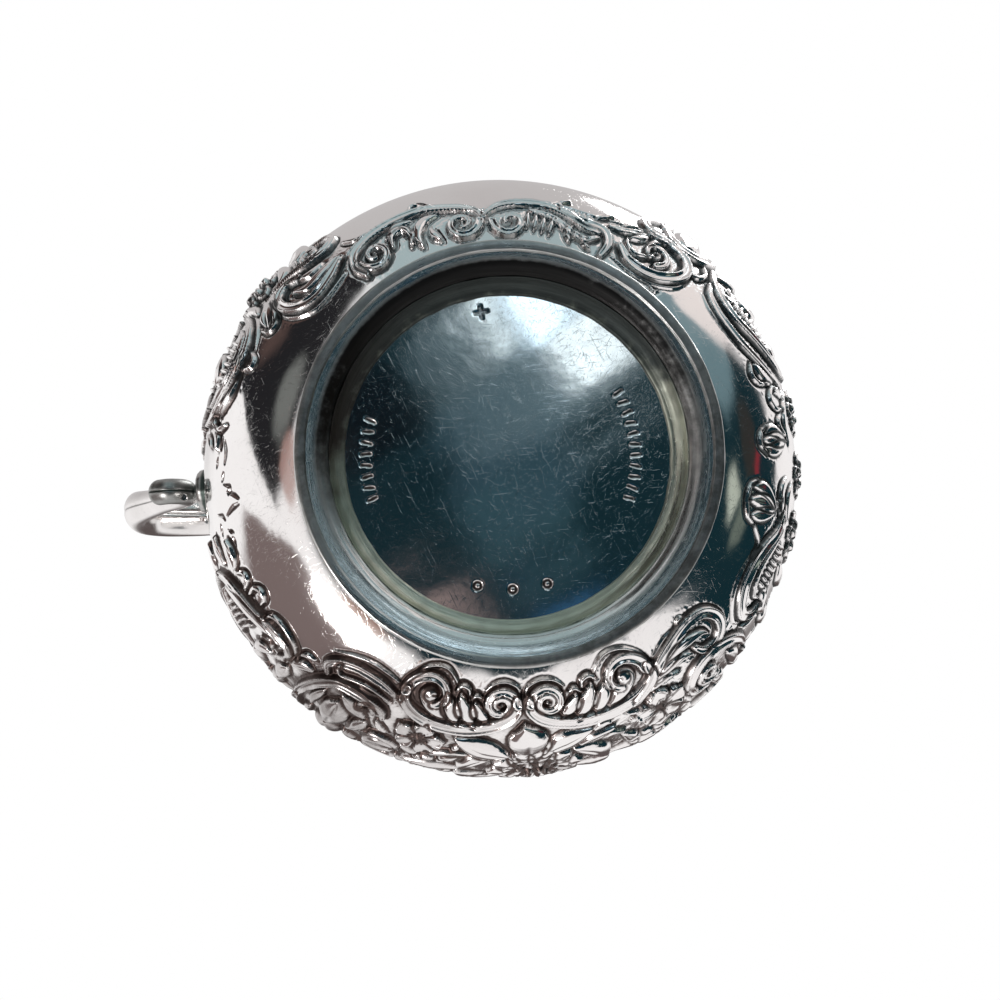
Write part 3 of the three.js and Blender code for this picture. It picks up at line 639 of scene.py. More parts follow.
# ---------------------------------------------------------------- mesh building
class Skin:
    """A surface of rings joined in order, with a grid UV map and a value at each point for its patina and its
    painted shade.
    """

    def __init__(self):
        self.points, self.grime, self.loops, self.totals, self.uvs = [], [], [], [], []
        self.count = 0
        self.last = None

    def add(self, xyz, v, grime=0.0):
        """Adds a ring of points and joins it to the ring before. One point alone is a pole."""
        xyz = np.asarray(xyz, float).reshape(-1, 3)
        ring = (self.count, len(xyz), v)
        self.points.append(xyz)
        self.grime.append(np.broadcast_to(np.asarray(grime, float), len(xyz)).copy())
        self.count += len(xyz)
        if self.last:
            self.join(self.last, ring)
        self.last = ring
        return ring

    def join(self, a, b):
        """Makes the faces between two rings. Where one has more points, they share the other's steps."""
        (start_a, n_a, v_a), (start_b, n_b, v_b) = a, b
        n = min(m for m in (n_a, n_b) if m > 1)
        cell = np.arange(n)[:, None]

        def corners(start, count, v):
            if count == 1:
                return np.full((n, 1), start), (cell + 0.5) / n, np.full((n, 1), v)
            k = count // n
            steps = cell * k + np.arange(k + 1)[None, :]
            return start + steps % count, steps / count, np.full(steps.shape, float(v))

        index_a, u_a, vv_a = corners(start_a, n_a, v_a)
        index_b, u_b, vv_b = corners(start_b, n_b, v_b)
        index = np.hstack([index_a, index_b[:, ::-1]])
        uv = np.stack([np.hstack([u_a, u_b[:, ::-1]]), np.hstack([vv_a, vv_b[:, ::-1]])], -1)
        self.loops.append(index.ravel())
        self.uvs.append(uv.reshape(-1, 2))
        self.totals.append(np.full(len(index), index.shape[1]))

    def close(self):
        """Joins the last ring to the first, for a ring-shaped piece."""
        first = (0, len(self.points[0]), 1.0)
        self.join(self.last, first)

    def make(self, name):
        """The rings as an object, moved onto the jug's axis."""
        points = np.vstack(self.points) * MM
        points[:, 0] += AXIS_X
        loops, totals, uvs = map(np.concatenate, (self.loops, self.totals, self.uvs))
        return mesh_object(name, points, loops, totals, uvs, np.concatenate(self.grime))


def mesh_object(name, points, loops, totals, uvs, grime):
    """A smooth-shaded object from points in metres and its faces' corners, counts, map, and patina and
    painted shade.
    """
    mesh = bpy.data.meshes.new(name)
    mesh.vertices.add(len(points))
    mesh.vertices.foreach_set("co", points.astype(np.float32).ravel())
    mesh.loops.add(len(loops))
    mesh.loops.foreach_set("vertex_index", loops.astype(np.int32))
    mesh.polygons.add(len(totals))
    mesh.polygons.foreach_set("loop_start", np.concatenate([[0], np.cumsum(totals)[:-1]]).astype(np.int32))
    mesh.polygons.foreach_set("loop_total", totals.astype(np.int32))
    mesh.update(calc_edges=True)
    layer = mesh.uv_layers.new(name="OFBake")
    layer.data.foreach_set("uv", np.clip(uvs, 0.001, 0.999).astype(np.float32).ravel())
    # Each point's value darkens the silver: tarnish in the relief and joints, and painted shade on the foot
    # and the solder fillet.
    attribute = mesh.attributes.new("grime", "FLOAT", "POINT")
    attribute.data.foreach_set("value", grime.astype(np.float32))
    mesh.polygons.foreach_set("use_smooth", np.ones(len(totals), bool))
    mesh.validate()
    piece = bpy.data.objects.new(name, mesh)
    bpy.context.scene.collection.objects.link(piece)
    return piece


def settle(piece, material, slot, *nodes):
    """Gives a piece its material and its place in the frame."""
    piece.data.materials.append(material)
    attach(piece, "root")
    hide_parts(*nodes)


def turns(count):
    """Evenly spaced angles round the axis, in radians."""
    return np.arange(count) * 2 * math.pi / count


def ring(radius, height, count):
    """A ring of points round the axis. Radius and height are numbers or one value per point."""
    turn = turns(count)
    radius = np.broadcast_to(radius, count)
    return np.stack([radius * np.cos(turn), radius * np.sin(turn), np.broadcast_to(height, count)], 1)


def drawn(xyz):
    """Pulls points of a turned neck or rim out and up into the pouring lip, and up over the handle."""
    radius, angle = np.hypot(xyz[:, 0], xyz[:, 1]), np.arctan2(xyz[:, 1], xyz[:, 0])
    share = np.clip((xyz[:, 2] - SEAM_HEIGHT) / (MOUTH_HEIGHT - SEAM_HEIGHT), 0, 1)
    lip, back = np.exp(-((angle / LIP_SPREAD) ** 2)), np.sin(angle / 2) ** 4
    out = radius + LIP_REACH * lip * share**2.2
    up = xyz[:, 2] + (LIP_RISE * lip + BACK_RISE * back) * share**2
    return np.stack([out * np.cos(angle), out * np.sin(angle), up], 1)


def uneven(count, waves, size, seed):
    """A smooth random value round a ring, such as the waviness that a hammer leaves."""
    maker = np.random.default_rng(seed)
    turn = turns(count)
    total = np.zeros(count)
    for wave in range(1, waves + 1):
        total += maker.normal() * np.cos(wave * turn + maker.uniform(0, 2 * math.pi)) / math.sqrt(waves)
    return size * total


def turned_piece(name, section, count, shape=None, rough=0.0, seed=0, grime=None):
    """A ring-shaped piece: a closed section, counter-clockwise in radius and height, round the axis."""
    section = np.asarray(section, float)
    run = lengths(np.vstack([section, section[:1]]))
    skin = Skin()
    for i, (radius, height) in enumerate(section):
        wave = uneven(count, 40, rough, seed + i // 3) if rough else 0
        points = ring(radius + wave, height, count)
        if shape is not None:
            points = shape(points)
        skin.add(points, run[i] / run[-1], 0.0 if grime is None else grime[i])
    skin.close()
    return skin.make(name)


def smooth_section(corners, steps=6):
    """Rounds a closed section's corners with a closed Catmull-Rom line through them."""
    p = np.array(corners, float)
    t = np.linspace(0, 1, steps, endpoint=False)[:, None]
    parts = []
    for i in range(len(p)):
        a, b, c, d = (p[(i + k) % len(p)] for k in (-1, 0, 1, 2))
        parts.append(catmull_rom(a, b, c, d, t))
    return np.vstack(parts)


# ---------------------------------------------------------------- bowl
DISC_COLUMNS = COLUMNS // 2
FOOT_COLUMNS = 720
INNER_COLUMNS = COLUMNS // 4
DISC_STEP = 0.17
TOTAL_RUN = JOINT_RADIUS + 2 * BOWL_END + JOINT_RADIUS


def punches(radius, turn):
    """Depth, from 0 to 1, of the small marks struck into the underside at points of the disc."""
    x, y = radius * np.cos(turn), radius * np.sin(turn)
    depth = np.zeros_like(x)
    for kind, centre, spread, count, size, tilt in PUNCH_ROWS:
        for i in range(count):
            offset_i = (i - (count - 1) / 2) * spread
            a = math.radians(centre[0])
            # A row bends round the disc at its own radius.
            along = a + offset_i / centre[1]
            px, py = centre[1] * math.cos(along), centre[1] * math.sin(along)
            u = (x - px) * math.cos(along) + (y - py) * math.sin(along)
            v = -(x - px) * math.sin(along) + (y - py) * math.cos(along)
            if kind == "bar":
                lean = math.radians(tilt * (-1) ** i)
                u, v = u * math.cos(lean) - v * math.sin(lean), u * math.sin(lean) + v * math.cos(lean)
                shape = np.maximum(np.abs(u) / size, np.abs(v) / (size * 0.28))
            elif kind == "ring":
                shape = np.abs(np.hypot(u, v) - size * 0.62) / (size * 0.3) + 0.2
            else:
                shape = np.minimum(
                    np.maximum(np.abs(u) / size, np.abs(v) / (size * 0.28)),
                    np.maximum(np.abs(v) / size, np.abs(u) / (size * 0.28)),
                )
            struck = 0.4 if kind == "cross" else 1.0
            depth = np.maximum(depth, struck * np.clip((1.25 - shape) / 0.5, 0, 1))
    return depth


# Rows of punch marks: shape, (direction in degrees, radius), pitch, count, half height, lean in degrees. They
# stand where such a piece carries its hallmarks, without any lettering.
PUNCH_ROWS = (
    ("bar", (181, 19.4), 1.55, 8, 0.75, 9),
    ("bar", (357, 17.4), 1.5, 11, 0.72, 7),
    ("ring", (91, 18.2), 4.8, 3, 0.8, 0),
    ("cross", (262, 20.2), 1.0, 1, 0.95, 0),
)


def build_bowl():
    """The bowl's skin: the disc, the decorated outer face, over the rim, and the plain inner face."""
    height, grime = make_relief()
    skin = Skin()
    skin.add([(0, 0, FOOT_HEIGHT - BASE_BULGE)], 0)
    turn = turns(DISC_COLUMNS)
    for radius in np.arange(0.5, JOINT_RADIUS - 0.4, DISC_STEP):
        dome = FOOT_HEIGHT - BASE_BULGE * (1 - (radius / JOINT_RADIUS) ** 2)
        mark = punches(np.full_like(turn, radius), turn)
        dent = 0.03 * np.sin(3.1 * radius * np.cos(turn - 0.5) / 8) * np.sin(2.3 * radius * np.sin(turn) / 7)
        skin.add(ring(radius, dome + 0.16 * mark + dent, DISC_COLUMNS), radius / TOTAL_RUN, mark * 0.9)
    for run in (0.0, 0.6, 1.2, 1.8, 2.4, 3.0):
        r, z = bowl_point(run)[:2]
        skin.add(ring(r, z, DISC_COLUMNS), (JOINT_RADIUS + run) / TOTAL_RUN)
    r, z, nr, nz = bowl_point(SHEET_RUNS)
    fade = np.clip(np.minimum((SHEET_RUNS - SHEET_FROM), (SHEET_TO - SHEET_RUNS)) / 0.6, 0, 1)
    for i, run in enumerate(SHEET_RUNS):
        h = height[i] * fade[i]
        points = ring(r[i] + h * nr[i], z[i] + h * nz[i], COLUMNS)
        skin.add(points, (JOINT_RADIUS + run) / TOTAL_RUN, grime[i])
    for run in np.linspace(SHEET_TO + 0.4, BOWL_END, 10):
        r, z = bowl_point(run)[:2]
        skin.add(ring(r, z, INNER_COLUMNS), (JOINT_RADIUS + run) / TOTAL_RUN)
    top = JOINT_RADIUS + BOWL_END
    soft = blurred(height, 0.8)[:, :: COLUMNS // INNER_COLUMNS]
    for run in np.linspace(BOWL_END, 0, 130):
        r, z, nr, nz = bowl_point(run)
        inset = -WALL
        if SHEET_FROM < run < SHEET_TO:
            h = np.array([np.interp(run, SHEET_RUNS, column) for column in soft.T])
            inset = h * min(1, (run - SHEET_FROM) / 2, (SHEET_TO - run) / 2) - WALL
        points = ring(r + inset * nr, z + inset * nz, INNER_COLUMNS)
        skin.add(points, (top + WALL + BOWL_END - run) / TOTAL_RUN)
    for radius in np.arange(JOINT_RADIUS - 2, 0.5, -1.0):
        dome = FOOT_HEIGHT + WALL - BASE_BULGE * (1 - (radius / JOINT_RADIUS) ** 2)
        skin.add(ring(radius, dome, INNER_COLUMNS), 1 - radius / TOTAL_RUN)
    skin.add([(0, 0, FOOT_HEIGHT + WALL - BASE_BULGE)], 1)
    return skin.make("bowl_embossed")


def neck_profile(base):
    """The neck's outer face, from a base height up to the mouth."""
    rise = MOUTH_HEIGHT - SEAM_HEIGHT
    return bezier([
        (SEAM_RADIUS, base),
        (WAIST_RADIUS, SEAM_HEIGHT + WAIST_LOW * rise),
        (WAIST_RADIUS + WAIST_FLARE, SEAM_HEIGHT + WAIST_HIGH * rise),
        (MOUTH_RADIUS, MOUTH_HEIGHT),
    ], 60)


def build_neck():
    """The plain neck, drawn out into the lip."""
    count = 720
    outside = neck_profile(SEAM_HEIGHT + 0.1)
    along = np.gradient(outside, axis=0)
    along /= np.hypot(*along.T)[:, None]
    inside = outside + np.stack([-along[:, 1], along[:, 0]], 1) * WALL
    inside[0, 1], inside[-1, 1] = SEAM_HEIGHT + 0.1, MOUTH_HEIGHT
    section = np.vstack([outside, inside[::-1]])
    run = lengths(np.vstack([section, section[:1]]))
    skin = Skin()
    wave = uneven(count, 30, 0.035, 5)
    for i, (radius, height) in enumerate(section):
        skin.add(drawn(ring(radius + wave, height, count)), run[i] / run[-1])
    skin.close()
    return skin.make("neck_drawn")


def build_foot():
    """The flared ring of sheet under the bowl."""
    top, bottom = FOOT_HEIGHT - 0.02, 1.32
    outside = bezier([(28.65, bottom), (25.24, 2.425), (JOINT_RADIUS, top)], 40)
    inside = bezier([(27.75, 0.75), (25.6, 0.95), (24.55, 1.1), (24.25, 2.2), (JOINT_RADIUS - 0.8, top)], 40)
    section = np.vstack([outside, inside[::-1]])
    turn = turns(FOOT_COLUMNS)
    # The steep inner wall is darkened as painted shade, most on the far side from the flowers, less towards
    # +Y, and least at the lower left (+Y, -X), where the lighter wall is a painted highlight.
    wall_painted_shade = 0.52 - 0.42 * np.sin(turn + 0.2) - 0.3 * np.clip(np.cos(turn - 2.3), 0, 1) ** 3
    patina_and_shade_share = np.zeros((len(section), FOOT_COLUMNS))
    wall = np.clip((inside[::-1, 1] - 0.8) / 0.2, 0, 1)
    patina_and_shade_share[len(outside):] = wall[:, None] * wall_painted_shade
    # The outer face is a little duller than the belly.
    patina_and_shade_share[: len(outside)] = 0.22
    return turned_piece("foot_flare", section, FOOT_COLUMNS, rough=0.02, seed=21, grime=patina_and_shade_share)


HANDLE_FROM = 0.022  # share of the centre line where the handle leaves the plate on the neck
HANDLE_SEAT = 0.7  # of the handle's end over the neck's face, within the plate's thickness


def build_handle(side, name):
    """One half of the hollow handle, with its seam down the middle."""
    steps, around = 220, 28
    share = np.linspace(HANDLE_FROM, 1, steps)
    line, tangent = handle_at(share)
    outward = np.stack([-tangent[:, 1], tangent[:, 0]], 1)
    width, depth = handle_section(share)
    phi = np.linspace(-math.pi / 2, math.pi / 2, around)
    gap = 0.03
    rows = []
    # The tube, then the rounded knob that ends it.
    for i in range(steps):
        rows.append((line[i], outward[i], width[i], depth[i]))
    knob = np.linspace(0, math.pi / 2, 14)[1:]
    for k in knob:
        centre = line[-1] + tangent[-1] * math.sin(k) * depth[-1]
        rows.append((centre, outward[-1], width[-1] * math.cos(k), depth[-1] * math.cos(k)))
    points = []
    for centre, out, w, d in rows:
        seam = 1 - 0.05 * np.exp(-((np.abs(phi) - math.pi / 2) / 0.1) ** 2)
        y = side * np.maximum(w * np.cos(phi) * seam, gap)
        across = d * np.sin(phi) * seam
        points.append(np.stack([centre[0] + out[0] * across, y, centre[1] + out[1] * across], 1))
    outer = np.array(points)
    # The upper end is fitted to the plate on the neck.
    near = np.hypot(outer[..., 0], outer[..., 1])
    least = jug_radius(outer[..., 2]) + HANDLE_SEAT
    grow = np.where(outer[..., 2] > SEAM_HEIGHT, np.maximum(least / near, 1), 1)
    outer[..., 0] *= grow
    outer[..., 1] *= grow
    n_rows = len(outer)
    flat = outer.reshape(-1, 3)
    grid = np.arange(n_rows * around).reshape(n_rows, around)
    quads = np.stack([grid[:-1, :-1], grid[1:, :-1], grid[1:, 1:], grid[:-1, 1:]], -1).reshape(-1, 4)
    # The seam face closes the half, and the first row's face lies on the plate.
    seam = np.stack([grid[:-1, 0], grid[:-1, -1], grid[1:, -1], grid[1:, 0]], -1)
    if side < 0:
        quads, seam = quads[:, ::-1], seam[:, ::-1]
    cap = grid[0][:: 1 if side > 0 else -1]
    loops = np.concatenate([quads.ravel(), seam.ravel(), cap])
    totals = np.concatenate([np.full(len(quads) + len(seam), 4), [around]])
    v, u = np.meshgrid(np.linspace(0, 1, n_rows), np.linspace(0, 0.8, around), indexing="ij")
    uv = np.stack([u, v], -1).reshape(-1, 2)
    uvs = uv[loops]
    first = len(quads) * 4
    uvs[first : first + seam.size] = [0.9, 0.5] + (uvs[first : first + seam.size] - [0.4, 0.5]) * [0.1, 0.98]
    points = flat * MM
    points[:, 0] += AXIS_X
    edge = np.exp(-((np.abs(np.tile(phi, n_rows)) - math.pi / 2) / 0.06) ** 2) * 0.3
    # The curl at the lower end is the darkest part of the handle.
    tail = np.clip((np.arange(n_rows) / steps - 0.84) / 0.08, 0, 1)
    edge = np.clip(edge + np.repeat(0.42 * tail * tail * (3 - 2 * tail), around), 0, 1)
    piece = mesh_object(name, points, loops, totals, uvs, edge)
    mend(piece)
    return piece


def mend(piece):
    """Turns every face of a closed piece outwards."""
    work = bmesh.new()
    work.from_mesh(piece.data)
    bmesh.ops.recalc_face_normals(work, faces=work.faces)
    work.to_mesh(piece.data)
    work.free()


# ---------------------------------------------------------------- handle
HANDLE_REACH, HANDLE_CROWN = 16.4, 5.2  # beyond the belly, and above the mouth
HANDLE_WIDTH, HANDLE_DEPTH = 7.2, 5.2
CURL_WIDTH, CURL_DEPTH = 3.8, 3.42
CURL_HEIGHT, CURL_GAP = 33, 3.7  # of the curl's underside, and between its line and the belly


def handle_points():
    """The handle's middle line as (x, z) points, from the plate on the neck round to the curl's end."""
    outermost = -(BELLY_RADIUS + HANDLE_REACH - HANDLE_DEPTH / 2)
    crown = MOUTH_HEIGHT + HANDLE_CROWN
    neck_r = 33.4
    low_z = CURL_HEIGHT
    start = -(np.interp(low_z, BOWL_Z, BOWL_R) + CURL_GAP)

    def mix(a, b, t):
        return a + (b - a) * t

    return np.array([
        (-(neck_r - 2), 63.9),
        (-(neck_r + 5.6), 71.5),
        (mix(-neck_r, outermost, 0.58), crown - 2.6),
        (outermost + 1.4, mix(low_z, crown, 0.8)),
        (outermost + 0.9, mix(low_z, crown, 0.58)),
        (mix(outermost, start, 0.55), mix(low_z, crown, 0.33)),
        (start - 0.2, low_z + 5.4),
        (start - 0.3, low_z + 1.6),
        (start - 2.2, low_z),
        (start - 3.6, low_z + 0.9),
    ])


def centripetal(points, per=60):
    """A centripetal Catmull-Rom line through points, as dense samples."""
    p = np.vstack([2 * points[0] - points[1], points, 2 * points[-1] - points[-2]])
    out = []
    for a, b, c, d in zip(p, p[1:], p[2:], p[3:]):
        k0, k1, k2 = (max(np.linalg.norm(y - x) ** 0.5, 1e-4) for x, y in ((a, b), (b, c), (c, d)))
        t1 = ((b - a) / k0 - (c - a) / (k0 + k1) + (c - b) / k1) * k1
        t2 = ((c - b) / k1 - (d - b) / (k1 + k2) + (d - c) / k2) * k1
        t = np.linspace(0, 1, per, endpoint=False)[:, None]
        out.append(b + t1 * t + (-3 * b + 3 * c - 2 * t1 - t2) * t**2 + (2 * b - 2 * c + t1 + t2) * t**3)
    return np.vstack(out + [points[-1:]])


handle_line = centripetal(handle_points())
handle_length = lengths(handle_line)


def handle_at(share):
    """Points (x, z) and tangents of the handle's centre line at shares of its length."""

    def at(s):
        s = np.clip(s, 0, 1) * handle_length[-1]
        return np.stack([np.interp(s, handle_length, handle_line[:, k]) for k in (0, 1)], 1)

    ahead = at(share + 0.004) - at(share - 0.004)
    return at(share), ahead / np.hypot(*ahead.T)[:, None]


def handle_section(share):
    """Half the handle's width and depth at shares of its length: full in the middle, slim in the curl."""
    swell = np.sin(math.pi * np.clip(share * 1.12, 0, 1)) ** 0.8
    t = np.clip((share - 0.35) / 0.47, 0, 1)
    thin = t * t * (3 - 2 * t)
    width = HANDLE_WIDTH * (0.72 + 0.28 * swell) * (1 - thin) + CURL_WIDTH * thin
    depth = HANDLE_DEPTH * (0.75 + 0.25 * swell) * (1 - thin) + CURL_DEPTH * thin
    return width / 2, depth / 2


def jug_radius(z):
    """Radius of the jug's outer face on the handle's side, at a height."""
    neck = neck_profile(SEAM_HEIGHT)
    # Over the handle the neck is drawn up a little.
    height = neck[1:, 1] + BACK_RISE * ((neck[1:, 1] - SEAM_HEIGHT) / (MOUTH_HEIGHT - SEAM_HEIGHT)) ** 2
    return np.interp(z, np.concatenate([BOWL_Z, height]), np.concatenate([BOWL_R, neck[1:, 0]]))


def build_pad(name, middle, half_y, half_z, thick, strut_r, strut_x, seed):
    """An oval plate on the jug's side, with its solder's uneven edge, and a strut out to the handle."""
    count = 96
    c, s = np.cos(turns(count)), np.sin(turns(count))
    lump = 1 + uneven(count, 12, 0.03, seed)
    skin = Skin()

    def row(share, lift, v, grime=0.0):
        y = half_y * share * c * lump
        z = middle + half_z * share * s * lump
        base = jug_radius(z) + lift
        x = -np.sqrt(np.maximum(base**2 - y**2, 0))
        skin.add(np.stack([x, y, z], 1), v, grime)

    # The strut's end inside the curl, its neck, and the flare where it meets the plate.
    strut = ((0.2, -0.3), (1, -0.3), (0.95, 0), (1, 0.6), (1.25, 1.1), (1.75, 1.6)) if strut_r else ()
    for j, (share, out) in enumerate(strut):
        r, x = strut_r * share, strut_x + out
        skin.add(np.stack([np.full(count, x), r * c, middle + r * s], 1), 0.02 + 0.04 * j, 0.5)
    for j, share in enumerate(np.linspace(0.62 if strut_r else 0.02, 0.9, 18)):
        noise = uneven(count, 24, 0.06, seed + j)
        row(share, thick * (1.04 - 0.08 * share) + noise, 0.3 + 0.02 * j, 0.45)
    # The plate's edge, rounded over and down into the solder.
    rounding = ((0.96, 0.85), (0.99, 0.6), (1.0, 0.35), (1.03, 0.1), (1.08, -0.15), (1.0, -0.4))
    for j, (share, lift) in enumerate(rounding):
        row(share, thick * lift if lift > 0 else lift, 0.7 + 0.04 * j, 0.8 if 0 < lift < 0.4 else 0.35)
    row(0.5, -0.4, 0.95)
    skin.add([(-(jug_radius(middle) - 0.4), 0, middle)], 1)
    piece = skin.make(name)
    mend(piece)
    return piece


# ---------------------------------------------------------------- materials
def new_material(name):
    made = bpy.data.materials.new(name)
    made.use_nodes = True
    made.node_tree.nodes.clear()
    return made


SCRATCHES = (
    ((11000, 260, 260), (0, 0, 0.4)),
    ((9000, 700, 700), (0.3, 0, 1.1)),
    ((12000, 380, 380), (0.2, 0.5, 2.2)),
    ((10000, 1000, 1000), (1.3, 0.2, 2.9)),
    ((8000, 330, 330), (0.5, 1.1, 1.7)),
    ((11000, 520, 520), (0, 0, 2.6)),
)  # how fine across and how short along, per metre, and how each set is turned


class Nodes:
    """Short calls for a node tree's nodes and links."""

    def __init__(self, tree):
        self.tree = tree

    def node(self, kind, **inputs):
        made = self.tree.nodes.new(kind)
        for key, value in inputs.items():
            if hasattr(made, key) and key not in made.inputs:
                setattr(made, key, value)
                continue
            socket = made.inputs[key]
            if isinstance(value, bpy.types.NodeSocket):
                self.tree.links.new(value, socket)
            else:
                socket.default_value = value
        return made

    def noise(self, vector, scale, detail=4.0, rough=0.5, warp=0.0):
        made = self.node("ShaderNodeTexNoise", Vector=vector, Scale=scale, Detail=detail, Roughness=rough)
        made.inputs["Distortion"].default_value = warp
        return made.outputs["Fac"]

    def scaled(self, vector, scale, turn=(0, 0, 0)):
        made = self.node("ShaderNodeMapping", Vector=vector, Scale=scale, Rotation=turn)
        return made.outputs["Vector"]

    def span(self, value, from_low, from_high, to_low=0.0, to_high=1.0):
        made = self.node("ShaderNodeMapRange", interpolation_type="SMOOTHSTEP")
        self.tree.links.new(value, made.inputs["Value"])
        ends = {"From Min": from_low, "From Max": from_high, "To Min": to_low, "To Max": to_high}
        for key, number in ends.items():
            made.inputs[key].default_value = number
        return made.outputs["Result"]

    def math(self, operation, a, b):
        made = self.node("ShaderNodeMath", operation=operation)
        for socket, value in zip(made.inputs, (a, b)):
            if isinstance(value, bpy.types.NodeSocket):
                self.tree.links.new(value, socket)
            else:
                socket.default_value = value
        return made.outputs[0]

    def mix(self, share, a, b, blend="MIX"):
        made = self.node("ShaderNodeMix", data_type="RGBA", blend_type=blend)
        for socket, value in ((made.inputs[0], share), (made.inputs[6], a), (made.inputs[7], b)):
            if isinstance(value, bpy.types.NodeSocket):
                self.tree.links.new(value, socket)
            else:
                socket.default_value = value if not isinstance(value, tuple) else (*value, 1)
        return made.outputs[2]


# Dark tints for the relief's patina and for the solder fillet's painted shade.
PATINA_AND_FILLET_SHADE = ((0.035, 0.043, 0.045), (0.06, 0.036, 0.03))  # cold on the lip's side, warm on the flowers' side
# A near-black tint for the foot's painted shade, on the inner wall and under the wire, and for its duller
# outer faces.
FOOT_SHADE_AND_PATINA = ((0.014, 0.014, 0.014), (0.02, 0.015, 0.012))
LATHE_LINES, LATHE_LENGTH = 3200, 2.2  # lines per metre across, and how often they break round the foot
HANDLE_STAIN = ((0.035, 0.056, 0.05), (0.04, 0.06, 0.052))


def silver(
    name, bright, tarnish, roughness, scratch, tone=0.1, patina=0.96, bump=0.02, patina_and_shade_tints=PATINA_AND_FILLET_SHADE, turned=False
):
    """Silver with soft tarnish, fine scratches, a dark tint where the mesh says, for patina and painted
    shade, and slight dents.
    """
    made = new_material(name)
    n = Nodes(made.node_tree)
    place = n.node("ShaderNodeTexCoord").outputs["Object"]
    grime = n.node("ShaderNodeAttribute", attribute_name="grime").outputs["Fac"]
    cloud = n.noise(place, 38, 5, 0.6, 0.4)
    fine = n.noise(place, 420, 4, 0.65)
    marks = None
    for scale, turn in SCRATCHES:
        stretched = n.scaled(n.scaled(place, (1, 1, 1), turn), scale)
        line = n.span(n.noise(stretched, 1.0, 3, 0.55, 0.5), 0.66, 0.76)
        marks = line if marks is None else n.math("MAXIMUM", marks, line)
    colour = n.mix(n.span(cloud, 0.38, 0.72, 0, tone * 4), bright, tarnish)
    side = n.node("ShaderNodeSeparateXYZ", Vector=place).outputs
    if turned:
        x = n.math("SUBTRACT", side["X"], AXIS_X)
        squares = n.math("ADD", n.math("MULTIPLY", x, x), n.math("MULTIPLY", side["Y"], side["Y"]))
        around = n.math("MULTIPLY", n.math("ARCTAN2", side["Y"], x), LATHE_LENGTH)
        across = n.math("MULTIPLY", n.math("POWER", squares, 0.5), LATHE_LINES)
        along = n.math("MULTIPLY", side["Z"], LATHE_LINES)
        rings = n.noise(n.node("ShaderNodeCombineXYZ", X=around, Y=across, Z=along).outputs[0], 1.0, 3, 0.6)
        colour = n.mix(n.span(rings, 0.4, 0.7, 0, 0.5), colour, tarnish)
    warm = n.span(n.math("SUBTRACT", side["Y"], n.math("MULTIPLY", side["X"], 0.7)), -0.02, 0.03)
    patina_and_shade_colour = n.mix(warm, *patina_and_shade_tints)
    # The mesh's values mix in the dark tint: patina in the relief's hollows, and painted shade on the foot
    # and the solder fillet, whose lighter stretches are painted highlights.
    spread = n.math("MULTIPLY", grime, n.span(fine, 0.2, 0.7, 0.75, 1.1))
    patina_and_shade_share = n.span(spread, 0.0, 0.72, 0, patina)
    colour = n.mix(patina_and_shade_share, colour, patina_and_shade_colour)
    hazy = n.span(cloud, 0.3, 0.75, roughness * 0.8, roughness * 1.35)
    rough = n.math("ADD", hazy, n.math("MULTIPLY", marks, scratch))
    rough = n.math("ADD", rough, n.math("MULTIPLY", patina_and_shade_share, 0.3))
    relief = n.math("ADD", n.math("MULTIPLY", n.noise(place, 150, 3), 1.0), n.math("MULTIPLY", fine, 0.12))
    relief = n.math("SUBTRACT", relief, n.math("MULTIPLY", marks, 0.1))
    if turned:
        rough = n.math("ADD", rough, n.span(rings, 0.35, 0.7, -0.05, 0.1))
        relief = n.math("ADD", relief, n.math("MULTIPLY", rings, 0.3))
    push = n.node("ShaderNodeBump", Height=relief, Strength=0.6, Distance=bump * MM)
    shader = n.node("ShaderNodeBsdfPrincipled", Roughness=rough, Normal=push.outputs["Normal"])
    shader.inputs["Metallic"].default_value = 1.0
    made.node_tree.links.new(colour, shader.inputs["Base Color"])
    n.node("ShaderNodeOutputMaterial", Surface=shader.outputs[0])
    return made


polished = silver("silver_bright", (0.93, 0.915, 0.905), (0.80, 0.76, 0.75), 0.09, 0.07, bump=0.05)
plain = silver("silver_plain", (0.94, 0.93, 0.92), (0.83, 0.80, 0.78), 0.07, 0.06, bump=0.05)
worn = silver(
    "silver_worn", (0.86, 0.87, 0.86), (0.62, 0.64, 0.62), 0.2, 0.12,
    tone=0.16, patina=0.995, bump=0.09, patina_and_shade_tints=FOOT_SHADE_AND_PATINA, turned=True,
)
handled = silver(
    "silver_handled", (0.88, 0.86, 0.85), (0.62, 0.6, 0.58), 0.16, 0.1,
    tone=0.14, bump=0.08, patina_and_shade_tints=HANDLE_STAIN,
)
solder = silver(
    "solder_dull", (0.70, 0.73, 0.62), (0.42, 0.46, 0.37), 0.3, 0.1,
    tone=0.24, bump=0.3, turned=True,
)

# ---------------------------------------------------------------- pieces
bowl = build_bowl()
settle(bowl, polished, "silver_polished", "body_bowl")
neck = build_neck()
settle(neck, plain, "silver_polished", "neck_and_lip")

rim_middle, rim_base = MOUTH_RADIUS - WALL / 2, MOUTH_HEIGHT + 0.15
rim_section = smooth_section([
    (rim_middle - 0.9, rim_base),
    (rim_middle + 0.9, rim_base),
    (rim_middle + 1.1, rim_base + 0.85),
    (rim_middle + 0.55, rim_base + 1.95),
    (rim_middle - 0.35, rim_base + 2.15),
    (rim_middle - 1.1, rim_base + 1.15),
])
rim = turned_piece("rim_band", rim_section, 720, shape=drawn, rough=0.015, seed=40)
settle(rim, plain, "silver_polished", "rim_wire")

